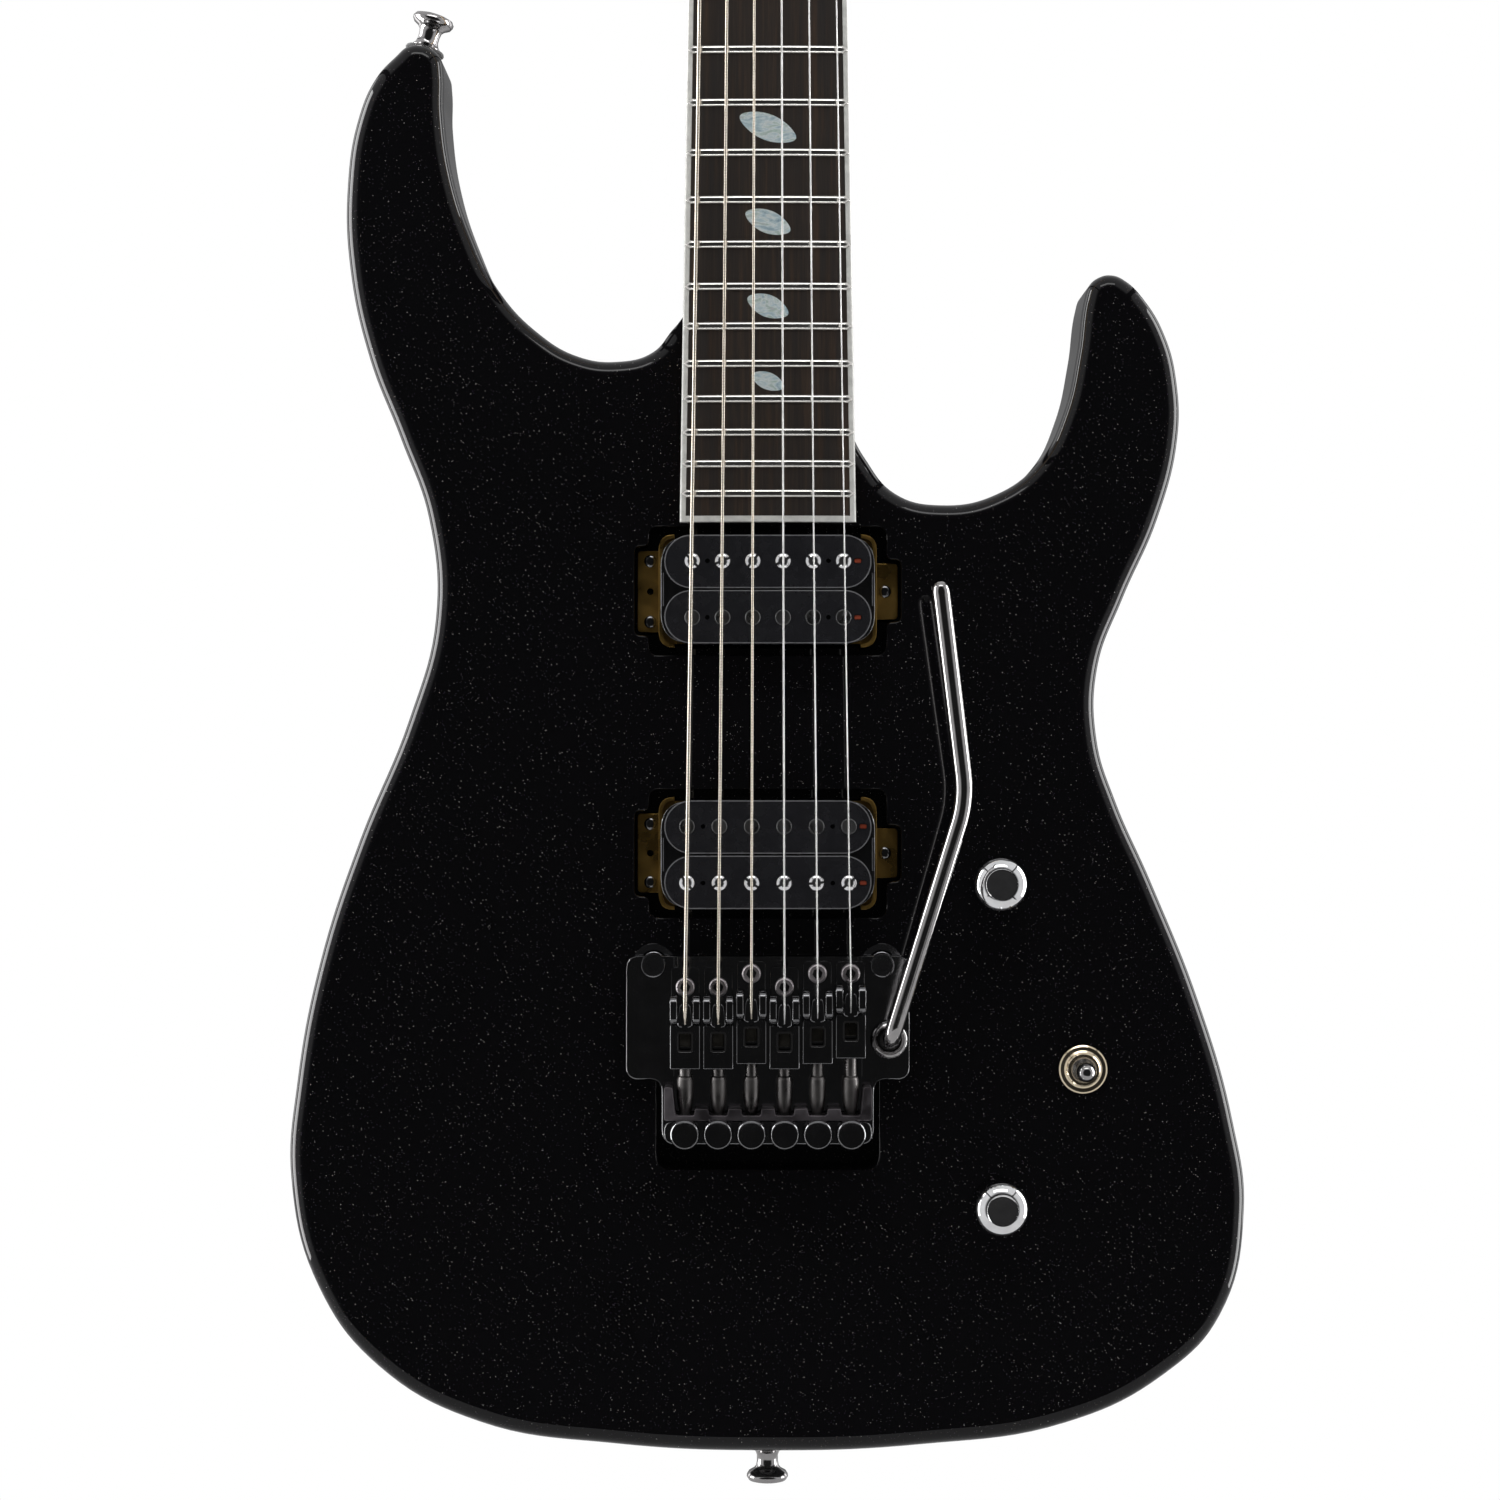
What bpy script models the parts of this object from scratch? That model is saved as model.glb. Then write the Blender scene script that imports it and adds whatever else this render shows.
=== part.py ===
"""Double-cutaway electric guitar with a locking tremolo, as separate solids.

Frame: metres, +Z along the neck towards the headstock, the face of the body towards -Y,
+X on the treble side. The origin lies on the centreline at the shoulders of the headstock.
Lengths below are written in millimetres times MM, and v is a height above the saddle line.
"""
import bpy
import bmesh
from math import cos, pi, radians, sin
from mathutils import Matrix, Vector

MM = 0.001
GAP = 0.3 * MM

# Strings and neck
SCALE_LENGTH = 648.0 * MM
SADDLE_Z = -672.0 * MM
NUT_V = SCALE_LENGTH
NUT_LENGTH = 16.0 * MM
FRET_COUNT = 24
STRING_COUNT = 6
NUT_SPREAD = 34.6 * MM
SADDLE_SPREAD = 53.6 * MM
STRING_Y_NUT = -12.9 * MM
STRING_Y_SADDLE = -15.3 * MM
STRING_RADII = [r * MM for r in (0.58, 0.48, 0.36, 0.22, 0.17, 0.13)]
NUT_WIDTH = 42.0 * MM
BOARD_END_WIDTH = 57.2 * MM
BOARD_END_V = 152.9 * MM
BOARD_FRONT = -11.2 * MM
BOARD_BACK = -5.2 * MM
BOARD_RADIUS = 380.0 * MM
BINDING_WIDTH = 1.9 * MM
BINDING_FRONT = -9.7 * MM
FRET_RADIUS = 1.4 * MM
FRET_SINK = 0.2 * MM
NECK_FRONT = BOARD_BACK + GAP
HEEL_END_V = 156.0 * MM
HEEL_BACK = 15.7 * MM
HEADSTOCK_TILT = radians(11.0)
HEADSTOCK_V = 660.0 * MM
HEADSTOCK_THICKNESS = 14.5 * MM

# Body
BODY_THICKNESS = 42.0 * MM
BODY_ROUNDING = 5.5 * MM
BODY_MIDDLE = BODY_THICKNESS / 2
PICKUP_DEPTH = 18.0 * MM
CONTROL_FLOOR = 8.0 * MM
SPRING_FLOOR = 24.0 * MM
COVER_DEPTH = 2.1 * MM
NECK_PICKUP_V = 131.0 * MM
BRIDGE_PICKUP_V = 45.0 * MM
VOLUME_AT = (75.3 * MM, 35.5 * MM)
TONE_AT = (75.6 * MM, -69.4 * MM)
SWITCH_AT = (103.0 * MM, -25.4 * MM)
JACK_V = -70.0 * MM
JACK_FACE_X = 158.2 * MM

# Tremolo
POST_X = 37.3 * MM
POST_V = 8.9 * MM
PIVOT_Y = -4.3 * MM
PLATE_FRONT = -5.6 * MM
PLATE_BACK = -3.0 * MM
TAIL_FRONT = -14.0 * MM
TAIL_ROOF = -12.0 * MM
SADDLE_WIDTH = 10.3 * MM
SADDLE_OFFSETS = [d * MM for d in (0.0, 0.0, 1.7, 0.0, 1.7, 3.5)]
SADDLE_PIVOT = (-6.2 * MM, 1.0 * MM)
FINE_TUNER_V = -44.7 * MM
ARM_AT = (39.5 * MM, -15.2 * MM)
ARM_RADIUS = 2.9 * MM
SPRING_Y = 33.0 * MM
SPRING_X = [x * MM for x in (-14.0, 0.0, 14.0)]

# Tuning machines
POST_STEP = 26.0 * MM
FIRST_POST = 38.0 * MM
POST_SHIFT = 3.6 * MM
TUNER_BACK = -24.5 * MM
WORM_DEPTH = -20.3 * MM
WORM_OFFSET = 4.6 * MM

# Solids where the exact solver leaves open edges, so the manifold solver cuts them
HARD_TO_CUT = ("body_blank",)

PARTS = None
TOOLS = None


def clear_scene():
    for obj in list(bpy.data.objects):
        bpy.data.objects.remove(obj, do_unlink=True)
    for collection in list(bpy.data.collections):
        bpy.data.collections.remove(collection)


def new_collection(name):
    collection = bpy.data.collections.new(name)
    bpy.context.scene.collection.children.link(collection)
    return collection


def material(name, color, roughness, metallic=0.0):
    mat = bpy.data.materials.new(name)
    mat.use_nodes = True
    shader = mat.node_tree.nodes["Principled BSDF"]
    shader.inputs["Base Color"].default_value = (*color, 1.0)
    shader.inputs["Roughness"].default_value = roughness
    shader.inputs["Metallic"].default_value = metallic
    return mat


def at(x, y, v):
    """World point from a height v above the saddle line."""
    return Vector((x, y, SADDLE_Z + v))


# ---- modelling helpers -------------------------------------------------------------------

def tool(name, mesh, matrix=None):
    """A helper solid, cut from or joined to a part and never a part itself."""
    obj = bpy.data.objects.new(name, mesh)
    obj.matrix_world = matrix or Matrix()
    obj.hide_render = True
    obj.display_type = "WIRE"
    TOOLS.objects.link(obj)
    return obj


def settled(obj):
    """The object as a plain welded mesh in world space, with its modifiers and curve applied."""
    bpy.context.view_layer.update()
    graph = bpy.context.evaluated_depsgraph_get()
    mesh = bpy.data.meshes.new_from_object(obj.evaluated_get(graph))
    mesh.transform(obj.matrix_world)
    bm = bmesh.new()
    bm.from_mesh(mesh)
    bmesh.ops.remove_doubles(bm, verts=bm.verts, dist=0.002 * MM)
    bmesh.ops.recalc_face_normals(bm, faces=bm.faces)
    bm.to_mesh(mesh)
    bm.free()
    name = obj.name
    bpy.data.objects.remove(obj, do_unlink=True)
    return tool(name, mesh)


def from_bmesh(name, bm):
    mesh = bpy.data.meshes.new(name)
    bm.normal_update()
    bmesh.ops.recalc_face_normals(bm, faces=bm.faces)
    bm.to_mesh(mesh)
    bm.free()
    return tool(name, mesh)


def facing(direction):
    """Rotation that turns +Z to the direction."""
    return Vector((0, 0, 1)).rotation_difference(Vector(direction)).to_matrix().to_4x4()


def box(name, low, high):
    bm = bmesh.new()
    bmesh.ops.create_cube(bm, size=1.0)
    size = Vector(high) - Vector(low)
    middle = (Vector(high) + Vector(low)) / 2
    bmesh.ops.scale(bm, vec=size, verts=bm.verts)
    bmesh.ops.translate(bm, vec=middle, verts=bm.verts)
    return from_bmesh(name, bm)


def rod(name, start, end, radius, sides=16):
    run = Vector(end) - Vector(start)
    bm = bmesh.new()
    bmesh.ops.create_cone(bm, cap_ends=True, segments=sides, radius1=radius, radius2=radius,
                          depth=run.length)
    bm.transform(Matrix.Translation((Vector(start) + Vector(end)) / 2) @ facing(run))
    return from_bmesh(name, bm)


def outline_curve(name, points, smooth, resolution):
    curve = bpy.data.curves.new(name, "CURVE")
    curve.dimensions = "2D"
    curve.fill_mode = "BOTH"
    curve.resolution_u = resolution
    curve.render_resolution_u = 0
    if smooth:
        spline = curve.splines.new("BEZIER")
        spline.bezier_points.add(len(points) - 1)
        for point, (x, y) in zip(spline.bezier_points, points):
            point.co = (x, y, 0.0)
            point.handle_left_type = "AUTO"
            point.handle_right_type = "AUTO"
    else:
        spline = curve.splines.new("POLY")
        spline.points.add(len(points) - 1)
        for point, (x, y) in zip(spline.points, points):
            point.co = (x, y, 0.0, 1.0)
    spline.use_cyclic_u = True
    return curve


def slab(name, points, low, high, matrix, smooth=False, rounding=0.0, resolution=3):
    """Flat outline in the matrix's XY plane, thick from low to high along its Z."""
    curve = outline_curve(name, points, smooth, resolution)
    curve.extrude = (high - low) / 2 - rounding
    curve.bevel_depth = rounding
    curve.bevel_resolution = 1
    curve.offset = -rounding
    obj = bpy.data.objects.new(name, curve)
    TOOLS.objects.link(obj)
    obj.matrix_world = matrix @ Matrix.Translation((0, 0, (low + high) / 2))
    return settled(obj)


def plate(name, points, front, back, **options):
    """Outline of (x, v) points facing the front, thick from front to back along Y."""
    upright = Matrix.Translation(at(0, 0, 0)) @ Matrix.Rotation(pi / 2, 4, "X")
    return slab(name, points, -back, -front, upright, **options)


def tube(name, points, radius, resolution=2):
    curve = bpy.data.curves.new(name, "CURVE")
    curve.dimensions = "3D"
    curve.bevel_depth = radius
    curve.bevel_resolution = resolution
    curve.use_fill_caps = True
    curve.render_resolution_u = 0
    spline = curve.splines.new("POLY")
    spline.points.add(len(points) - 1)
    for point, place in zip(spline.points, points):
        point.co = (*place, 1.0)
    obj = bpy.data.objects.new(name, curve)
    TOOLS.objects.link(obj)
    return settled(obj)


def turned(name, profile, base, direction, steps=20):
    """Round piece from (radius, height) points given from its top down its outer side."""
    mesh = bpy.data.meshes.new(name)
    verts = [(radius, 0.0, height) for radius, height in profile]
    mesh.from_pydata(verts, [(i, i + 1) for i in range(len(verts) - 1)], [])
    obj = tool(name, mesh, Matrix.Translation(Vector(base)) @ facing(direction))
    screw = obj.modifiers.new("turn", "SCREW")
    screw.steps = steps
    screw.render_steps = steps
    screw.use_merge_vertices = True
    screw.merge_threshold = 0.00001
    screw.use_normal_calculate = True
    return settled(obj)


def loft(name, sections):
    """Closed solid through rings of equal length."""
    bm = bmesh.new()
    rings = [[bm.verts.new(point) for point in section] for section in sections]
    for ring, following in zip(rings, rings[1:]):
        for i in range(len(ring)):
            j = (i + 1) % len(ring)
            bm.faces.new((ring[i], ring[j], following[j], following[i]))
    bm.faces.new(rings[0])
    bm.faces.new(rings[-1])
    return from_bmesh(name, bm)


def combine(obj, operation, others):
    for other in others:
        boolean = obj.modifiers.new(operation.lower(), "BOOLEAN")
        boolean.operation = operation
        boolean.solver = "MANIFOLD" if obj.name in HARD_TO_CUT else "EXACT"
        boolean.object = other
    return obj


def cut(obj, *cutters):
    return combine(obj, "DIFFERENCE", cutters)


def unite(obj, *pieces):
    return combine(obj, "UNION", pieces)


def part(obj, name, mat, origin=None):
    """Turn a finished solid into a named part whose origin is its joint's point."""
    obj = settled(obj)
    mesh = obj.data
    bpy.data.objects.remove(obj, do_unlink=True)
    if origin is not None:
        mesh.transform(Matrix.Translation(-Vector(origin)))
    mesh.name = name
    mesh.materials.clear()
    mesh.materials.append(mat)
    mesh.shade_smooth()
    mesh.set_sharp_from_angle(angle=radians(35.0))
    result = bpy.data.objects.new(name, mesh)
    result.location = origin or (0, 0, 0)
    PARTS.objects.link(result)
    return result


def rounded(points, radius, steps=3):
    """The polygon with each corner turned into an arc-like bend of a few points."""
    result = []
    count = len(points)
    for i in range(count):
        corner = Vector(points[i])
        before = Vector(points[i - 1])
        after = Vector(points[(i + 1) % count])
        reach = min(radius, (before - corner).length / 2.2, (after - corner).length / 2.2)
        start = corner + (before - corner).normalized() * reach
        end = corner + (after - corner).normalized() * reach
        for k in range(steps + 1):
            t = k / steps
            point = start * (1 - t) ** 2 + corner * 2 * t * (1 - t) + end * t * t
            result.append((point.x, point.y))
    return result


def stadium(width, height, x, v, steps=6):
    """Outline of a bar with half-round ends."""
    radius = height / 2
    points = []
    for side in (1, -1):
        for k in range(steps + 1):
            angle = -pi / 2 + pi * k / steps
            points.append((x + side * (width / 2 - radius + radius * cos(angle)),
                           v + side * radius * sin(angle)))
    return points


# ---- strings and scale -------------------------------------------------------------------

def board_width(v):
    share = (NUT_V - v) / (NUT_V - BOARD_END_V)
    return NUT_WIDTH + (BOARD_END_WIDTH - NUT_WIDTH) * share


def fret_v(number):
    return SCALE_LENGTH * 2 ** (-number / 12)


def string_x(index, spread):
    return spread * (index / (STRING_COUNT - 1) - 0.5)


# ---- body ----------------------------------------------------------------------------------

def arc(x, v, radius, first, last, count):
    """Points on a circle about (x, v), from the first angle to the last, in degrees."""
    points = []
    for k in range(count):
        angle = radians(first + (last - first) * k / (count - 1))
        points.append((x + radius * cos(angle), v + radius * sin(angle)))
    return points


def millimetres(points):
    return [(x * MM, v * MM) for x, v in points]


# Clockwise from the end strap button: bass side, upper horn, neck joint, lower horn, treble side
BODY_OUTLINE = millimetres(
    [(0, -151.8), (-50, -149.5), (-95, -142.2), (-128, -124), (-148, -97.5), (-157, -62),
     (-155, -30), (-147.4, 9.6), (-134.5, 49.2), (-118.3, 88.8), (-109.5, 122),
     (-111.7, 154.8), (-121, 181.2), (-131.2, 207.6), (-137.6, 237), (-138.4, 265),
     (-134.8, 286.8), (-129, 300)]
    + arc(-115, 302.4, 8.8, 145, -5, 6)
    + [(-106, 288), (-103, 267), (-96.6, 247.2), (-88.3, 230.4), (-75.1, 216.2),
       (-62, 208.6), (-49, 207), (-38, 210), (-31, 218), (-22, 226.5), (-8, 222), (8, 206),
       (24, 190), (32, 175.5), (42, 163.6), (57, 159.8), (75, 163.3), (89, 174), (97, 190),
       (101.3, 209)]
    + arc(112.3, 227, 8.4, 175, 55, 5)
    + [(124, 227.2), (131, 215), (134.8, 200), (135.1, 181.2), (128.5, 154.8), (117, 128.4),
       (108.8, 106), (108.6, 82), (114.6, 62.4), (126.2, 36), (142, -3.6), (153.3, -43.2),
       (157, -72), (149, -107), (130, -127), (98, -142.6), (50, -149.8)])

CONTROL_CAVITY = millimetres([(60, 51), (92, 51), (118, 0), (124, -30), (123, -84), (61, -86)])
SPRING_CAVITY = millimetres([(-29, -30), (29, -30), (29, 106), (-29, 106)])


def grown(points, amount):
    """A convex outline moved outward about its middle by roughly the amount."""
    middle = sum((Vector(p) for p in points), Vector((0, 0))) / len(points)
    result = []
    for p in points:
        away = Vector(p) - middle
        result.append((p[0] + amount * (1 if away.x > 0 else -1),
                       p[1] + amount * (1 if away.y > 0 else -1)))
    return result


def pickup_cavity(v, left_lobe, right_lobe):
    """Rectangular rout with a lobe at each end for the pickup's legs."""
    half = 21.0 * MM
    side = 38.8 * MM
    lobe = 43.6 * MM
    return rounded([(-side, v + half), (side, v + half), (side, v + right_lobe),
                    (lobe, v + right_lobe), (lobe, v - right_lobe), (side, v - right_lobe),
                    (side, v - half), (-side, v - half), (-side, v - left_lobe),
                    (-lobe, v - left_lobe), (-lobe, v + left_lobe), (-side, v + left_lobe)],
                   3.0 * MM, steps=2)


def make_body(mat):
    body = plate("body_blank", BODY_OUTLINE, 0, BODY_THICKNESS, smooth=True,
                 rounding=BODY_ROUNDING, resolution=2)
    for base, direction in strap_places():
        cut(body, rod("strap_hole", base + direction * 5 * MM, base - direction * 24 * MM,
                      2.4 * MM, 10))
    clear = 5.0 * MM
    back = BODY_THICKNESS + clear
    pocket_half = board_width(HEEL_END_V) / 2 + GAP
    open_half = board_width(240 * MM) / 2 + GAP
    pocket = [(-pocket_half, HEEL_END_V - GAP), (pocket_half, HEEL_END_V - GAP),
              (open_half, 240 * MM), (-open_half, 240 * MM)]
    cut(body, plate("neck_pocket", pocket, -clear, HEEL_BACK + GAP))
    for name, v, left, right in (("neck_rout", NECK_PICKUP_V, 14.6, 10.2),
                                 ("bridge_rout", BRIDGE_PICKUP_V, 14.0, 9.2)):
        outline = pickup_cavity(v, left * MM, right * MM)
        cut(body, plate(name, outline, -clear, PICKUP_DEPTH))
    tail = rounded([(-36.4 * MM, -58.5 * MM), (36.4 * MM, -58.5 * MM),
                    (36.4 * MM, -18 * MM), (-36.4 * MM, -18 * MM)], 5 * MM)
    cut(body, plate("tail_recess", tail, -clear, 12 * MM))
    slot = rounded([(-24 * MM, -26 * MM), (24 * MM, -26 * MM), (24 * MM, 8 * MM),
                    (-24 * MM, 8 * MM)], 3 * MM, steps=2)
    cut(body, plate("block_slot", slot, -clear, SPRING_FLOOR + MM))
    cut(body, plate("spring_rout", rounded(SPRING_CAVITY, 6 * MM), SPRING_FLOOR, back))
    cut(body, plate("spring_lid", rounded(grown(SPRING_CAVITY, 5 * MM), 8 * MM),
                    BODY_THICKNESS - COVER_DEPTH, back))
    cut(body, plate("control_rout", rounded(CONTROL_CAVITY, 8 * MM), CONTROL_FLOOR, back))
    cut(body, plate("control_lid", rounded(grown(CONTROL_CAVITY, 5 * MM), 10 * MM),
                    BODY_THICKNESS - COVER_DEPTH, back))
    for name, (x, v), radius in (("volume_hole", VOLUME_AT, 5.1 * MM),
                                 ("tone_hole", TONE_AT, 5.1 * MM),
                                 ("switch_hole", SWITCH_AT, 6.4 * MM)):
        cut(body, rod(name, at(x, -clear, v), at(x, CONTROL_FLOOR + MM, v), radius))
    for side in (-1, 1):
        x = side * POST_X
        cut(body, rod("post_hole", at(x, -clear, POST_V), at(x, 24 * MM, POST_V), 4.4 * MM))
        x = side * 13 * MM
        cut(body, rod("claw_hole", at(x, SPRING_Y, 104 * MM), at(x, SPRING_Y, 131 * MM),
                      2.4 * MM, 10))
    cut(body, rod("jack_hole", at(120 * MM, BODY_MIDDLE, JACK_V),
                  at(165 * MM, BODY_MIDDLE, JACK_V), 5.6 * MM))
    return part(body, "body", mat)


def make_covers(mat):
    front = BODY_THICKNESS - COVER_DEPTH + GAP
    back = BODY_THICKNESS - 0.1 * MM
    for name, cavity, radius in (("spring_cover", SPRING_CAVITY, 8 * MM),
                                 ("control_cover", CONTROL_CAVITY, 10 * MM)):
        outline = rounded(grown(cavity, 4.6 * MM), radius)
        part(plate(name + "_blank", outline, front, back), name, mat)


# ---- neck ----------------------------------------------------------------------------------

def neck_section(v, depth, roundness):
    """Half-oval ring: flat towards the board, rounded behind."""
    half = board_width(v) / 2
    steps = 12
    ring = []
    for k in range(steps + 1):
        angle = pi * k / steps
        side = abs(cos(angle)) ** (2 / roundness) * (1 if cos(angle) >= 0 else -1)
        bulge = sin(angle) ** (2 / roundness)
        ring.append(at(half * side, NECK_FRONT + (depth - NECK_FRONT) * bulge, v))
    return ring


def headstock_matrix():
    """Local X across, local Y along the headstock, local Z out of its front face."""
    place = at(0, NECK_FRONT, HEADSTOCK_V)
    return Matrix.Translation(place) @ Matrix.Rotation(pi / 2 - HEADSTOCK_TILT, 4, "X")


def tuner_place(index):
    """Centre of a tuning post on the headstock's face."""
    return Vector((string_x(index, NUT_SPREAD) - POST_SHIFT,
                   FIRST_POST + POST_STEP * index, 0.0))


def tuner_row():
    run = tuner_place(STRING_COUNT - 1) - tuner_place(0)
    return run.normalized()


def tuner_side():
    along = tuner_row()
    return Vector((-along.y, along.x, 0.0))


HEADSTOCK_OUTLINE = millimetres([
    (21, -6), (21.3, 3), (24, 11), (29.5, 20), (31, 31), (28.5, 52), (27, 90), (28, 130),
    (32, 162), (38.5, 186), (20, 183), (3, 184), (-4.4, 155), (-13, 122), (-21.6, 89),
    (-30.2, 56), (-36.4, 32), (-32, 21), (-24.5, 11), (-21.3, 3), (-21, -6)])


def make_neck(mat):
    stations = ((156, 15.7, 9), (205, 15.7, 9), (228, 15.4, 7), (243, 12.6, 4), (258, 10.9, 2.8),
                (300, 10.6, 2.4), (480, 9.8, 2.3), (630, 9.0, 2.3), (662, 9.4, 2.6), (672, 8.5, 3))
    sections = []
    for v, depth, roundness in stations:
        sections.append(neck_section(v * MM, depth * MM, roundness))
    neck = loft("neck_shaft", sections)
    head = slab("headstock", rounded(HEADSTOCK_OUTLINE, 6 * MM, steps=2),
                -HEADSTOCK_THICKNESS, -0.1 * MM, headstock_matrix())
    above = box("above_face", at(-30 * MM, -30 * MM, 630 * MM), at(30 * MM, NECK_FRONT, 668 * MM))
    unite(neck, cut(head, above))
    channel = box("rod_channel", at(-3.3 * MM, -8 * MM, 176 * MM), at(3.3 * MM, 5 * MM, 684 * MM))
    cut(neck, channel)
    face = headstock_matrix()
    for index in range(STRING_COUNT):
        place = tuner_place(index)
        cut(neck, rod("tuner_hole", face @ (place + Vector((0, 0, 5 * MM))),
                      face @ (place - Vector((0, 0, 20 * MM))), 3.6 * MM, 12))
    return part(neck, "neck", mat)


def make_truss_rod(mat):
    bar = box("rod_bar", at(-2.9 * MM, NECK_FRONT + 0.6 * MM, 177 * MM),
              at(2.9 * MM, 4.6 * MM, 666 * MM))
    nut = rod("rod_nut", at(0, 1.6 * MM, 664 * MM), at(0, 1.6 * MM, 680 * MM), 2.8 * MM, 12)
    return part(unite(bar, nut), "truss_rod", mat)


def board_section(v, half, front, steps=4):
    """Cross-section of the board: an arc of the board's radius in front, flat behind."""
    ring = [at(half, BOARD_BACK, v), at(-half, BOARD_BACK, v)]
    for k in range(steps + 1):
        x = half * (2 * k / steps - 1)
        ring.append(at(x, front + x * x / (2 * BOARD_RADIUS), v))
    return ring


def make_fretboard(mat):
    inset = BINDING_WIDTH + GAP
    low_v = BOARD_END_V + inset
    high_v = NUT_V - GAP
    sections = []
    for v in (low_v, high_v):
        sections.append(board_section(v, board_width(v) / 2 - inset, BOARD_FRONT))
    board = loft("board", sections)
    for number in range(1, FRET_COUNT + 1):
        v = fret_v(number)
        half = board_width(v) / 2 - inset - 0.4 * MM
        path = []
        for k in range(5):
            x = half * (k / 2 - 1)
            path.append(at(x, BOARD_FRONT + FRET_SINK + x * x / (2 * BOARD_RADIUS), v))
        unite(board, tube("fret", path, FRET_RADIUS, resolution=0))
    return part(board, "fretboard", mat)


def strip_section(v, half, front):
    return [at(half, BOARD_BACK, v), at(-half, BOARD_BACK, v), at(-half, front, v),
            at(half, front, v)]


def make_binding(mat):
    outer = loft("binding_outer", [strip_section(v, board_width(v) / 2, BINDING_FRONT)
                                   for v in (BOARD_END_V, NUT_V - GAP)])
    inner_low = BOARD_END_V + BINDING_WIDTH
    inner = loft("binding_inner", [
        [point + Vector((0, (-5 if i > 1 else 5) * MM, 0)) for i, point in enumerate(
            strip_section(v, board_width(v) / 2 - BINDING_WIDTH, BINDING_FRONT))]
        for v in (inner_low, NUT_V + 10 * MM)])
    return part(cut(outer, inner), "fretboard_binding", mat)


def make_nut(base_mat, clamp_mat):
    middle = NUT_V + NUT_LENGTH / 2
    half = NUT_WIDTH / 2 - GAP
    base = box("nut_block", at(-half, -11.9 * MM, NUT_V + GAP),
               at(half, BOARD_BACK, NUT_V + NUT_LENGTH))
    pitch = NUT_SPREAD / (STRING_COUNT - 1) * 2
    for k in range(3):
        x = pitch * (k - 1)
        cut(base, rod("bolt_hole", at(x, -15 * MM, middle), at(x, -6 * MM, middle), 2.1 * MM, 10))
    part(base, "nut_base", base_mat)
    for k in range(3):
        x = pitch * (k - 1)
        block = rounded([(x - 6.4 * MM, middle - 6 * MM), (x + 6.4 * MM, middle - 6 * MM),
                         (x + 6.4 * MM, middle + 6 * MM), (x - 6.4 * MM, middle + 6 * MM)],
                        2 * MM, steps=2)
        clamp = plate("clamp_block", block, -18.4 * MM, -13.8 * MM)
        unite(clamp, rod("clamp_bolt", at(x, -14.5 * MM, middle), at(x, -6.5 * MM, middle),
                         1.7 * MM, 10))
        cut(clamp, rod("clamp_hex", at(x, -20 * MM, middle), at(x, -16.4 * MM, middle),
                       1.9 * MM, 6))
        part(clamp, "nut_clamp_%d" % (k + 1), clamp_mat)


# ---- tuning machines -----------------------------------------------------------------------

def slanted_box(name, place, low, high):
    """Box whose X runs along the tuner row and Y towards the buttons."""
    along = tuner_row()
    angle = along.to_2d().angle_signed(Vector((1, 0)))
    solid = box(name, low, high)
    matrix = headstock_matrix() @ Matrix.Translation(place) @ Matrix.Rotation(angle, 4, "Z")
    solid.data.transform(matrix)
    return solid


def make_tuners(housing_mat, post_mat, button_mat):
    face = headstock_matrix()
    along = tuner_row()
    side = tuner_side()
    front = -HEADSTOCK_THICKNESS - GAP
    length = POST_STEP * (STRING_COUNT - 1) / along.y
    strip = slanted_box("tuner_strip", tuner_place(0), (-4 * MM, -5 * MM, front - 1.4 * MM),
                        (length + 4 * MM, 5 * MM, front))
    for index in range(STRING_COUNT):
        place = tuner_place(index)
        unite(strip, slanted_box("housing", place, (-8.2 * MM, -7 * MM, TUNER_BACK),
                                 (8.2 * MM, 8.5 * MM, front - 0.4 * MM)))
    normal = Vector((0, 0, 1))
    for index in range(STRING_COUNT):
        place = tuner_place(index)
        cut(strip, rod("post_seat", face @ (place - normal * 10 * MM),
                       face @ (place - normal * 17.6 * MM), 3.5 * MM, 12))
        worm = place + along * WORM_OFFSET + normal * WORM_DEPTH
        cut(strip, rod("worm_seat", face @ (worm + side * 4.6 * MM),
                       face @ (worm + side * 14 * MM), 2.1 * MM, 10))
    part(strip, "tuner_housings", housing_mat)
    for index in range(STRING_COUNT):
        place = tuner_place(index)
        out = face.to_3x3() @ normal
        post = turned("post", [(0, 10.5 * MM), (2.7 * MM, 10.5 * MM), (3.0 * MM, 9.8 * MM),
                               (3.0 * MM, 7.4 * MM), (2.2 * MM, 6.2 * MM), (2.2 * MM, 4.6 * MM),
                               (3.0 * MM, 3.4 * MM), (3.0 * MM, -16.6 * MM), (0, -16.6 * MM)],
                      face @ place, out, steps=10)
        part(post, "tuner_post_%d" % (index + 1), post_mat, origin=face @ place)
        worm = face @ (place + along * WORM_OFFSET + normal * WORM_DEPTH)
        outward = (face.to_3x3() @ side).normalized()
        shaft = rod("shaft", worm + outward * 5.2 * MM, worm + outward * 17 * MM, 1.6 * MM, 12)
        grip_matrix = Matrix.Translation(worm) @ facing(outward)
        grip = slab("grip", stadium(16 * MM, 10.4 * MM, 0, 0, steps=5), 16 * MM, 28 * MM,
                    grip_matrix @ Matrix.Scale(0.62, 4, (0, 1, 0)))
        button = unite(shaft, grip)
        part(button, "tuner_button_%d" % (index + 1), button_mat, origin=worm)


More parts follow.
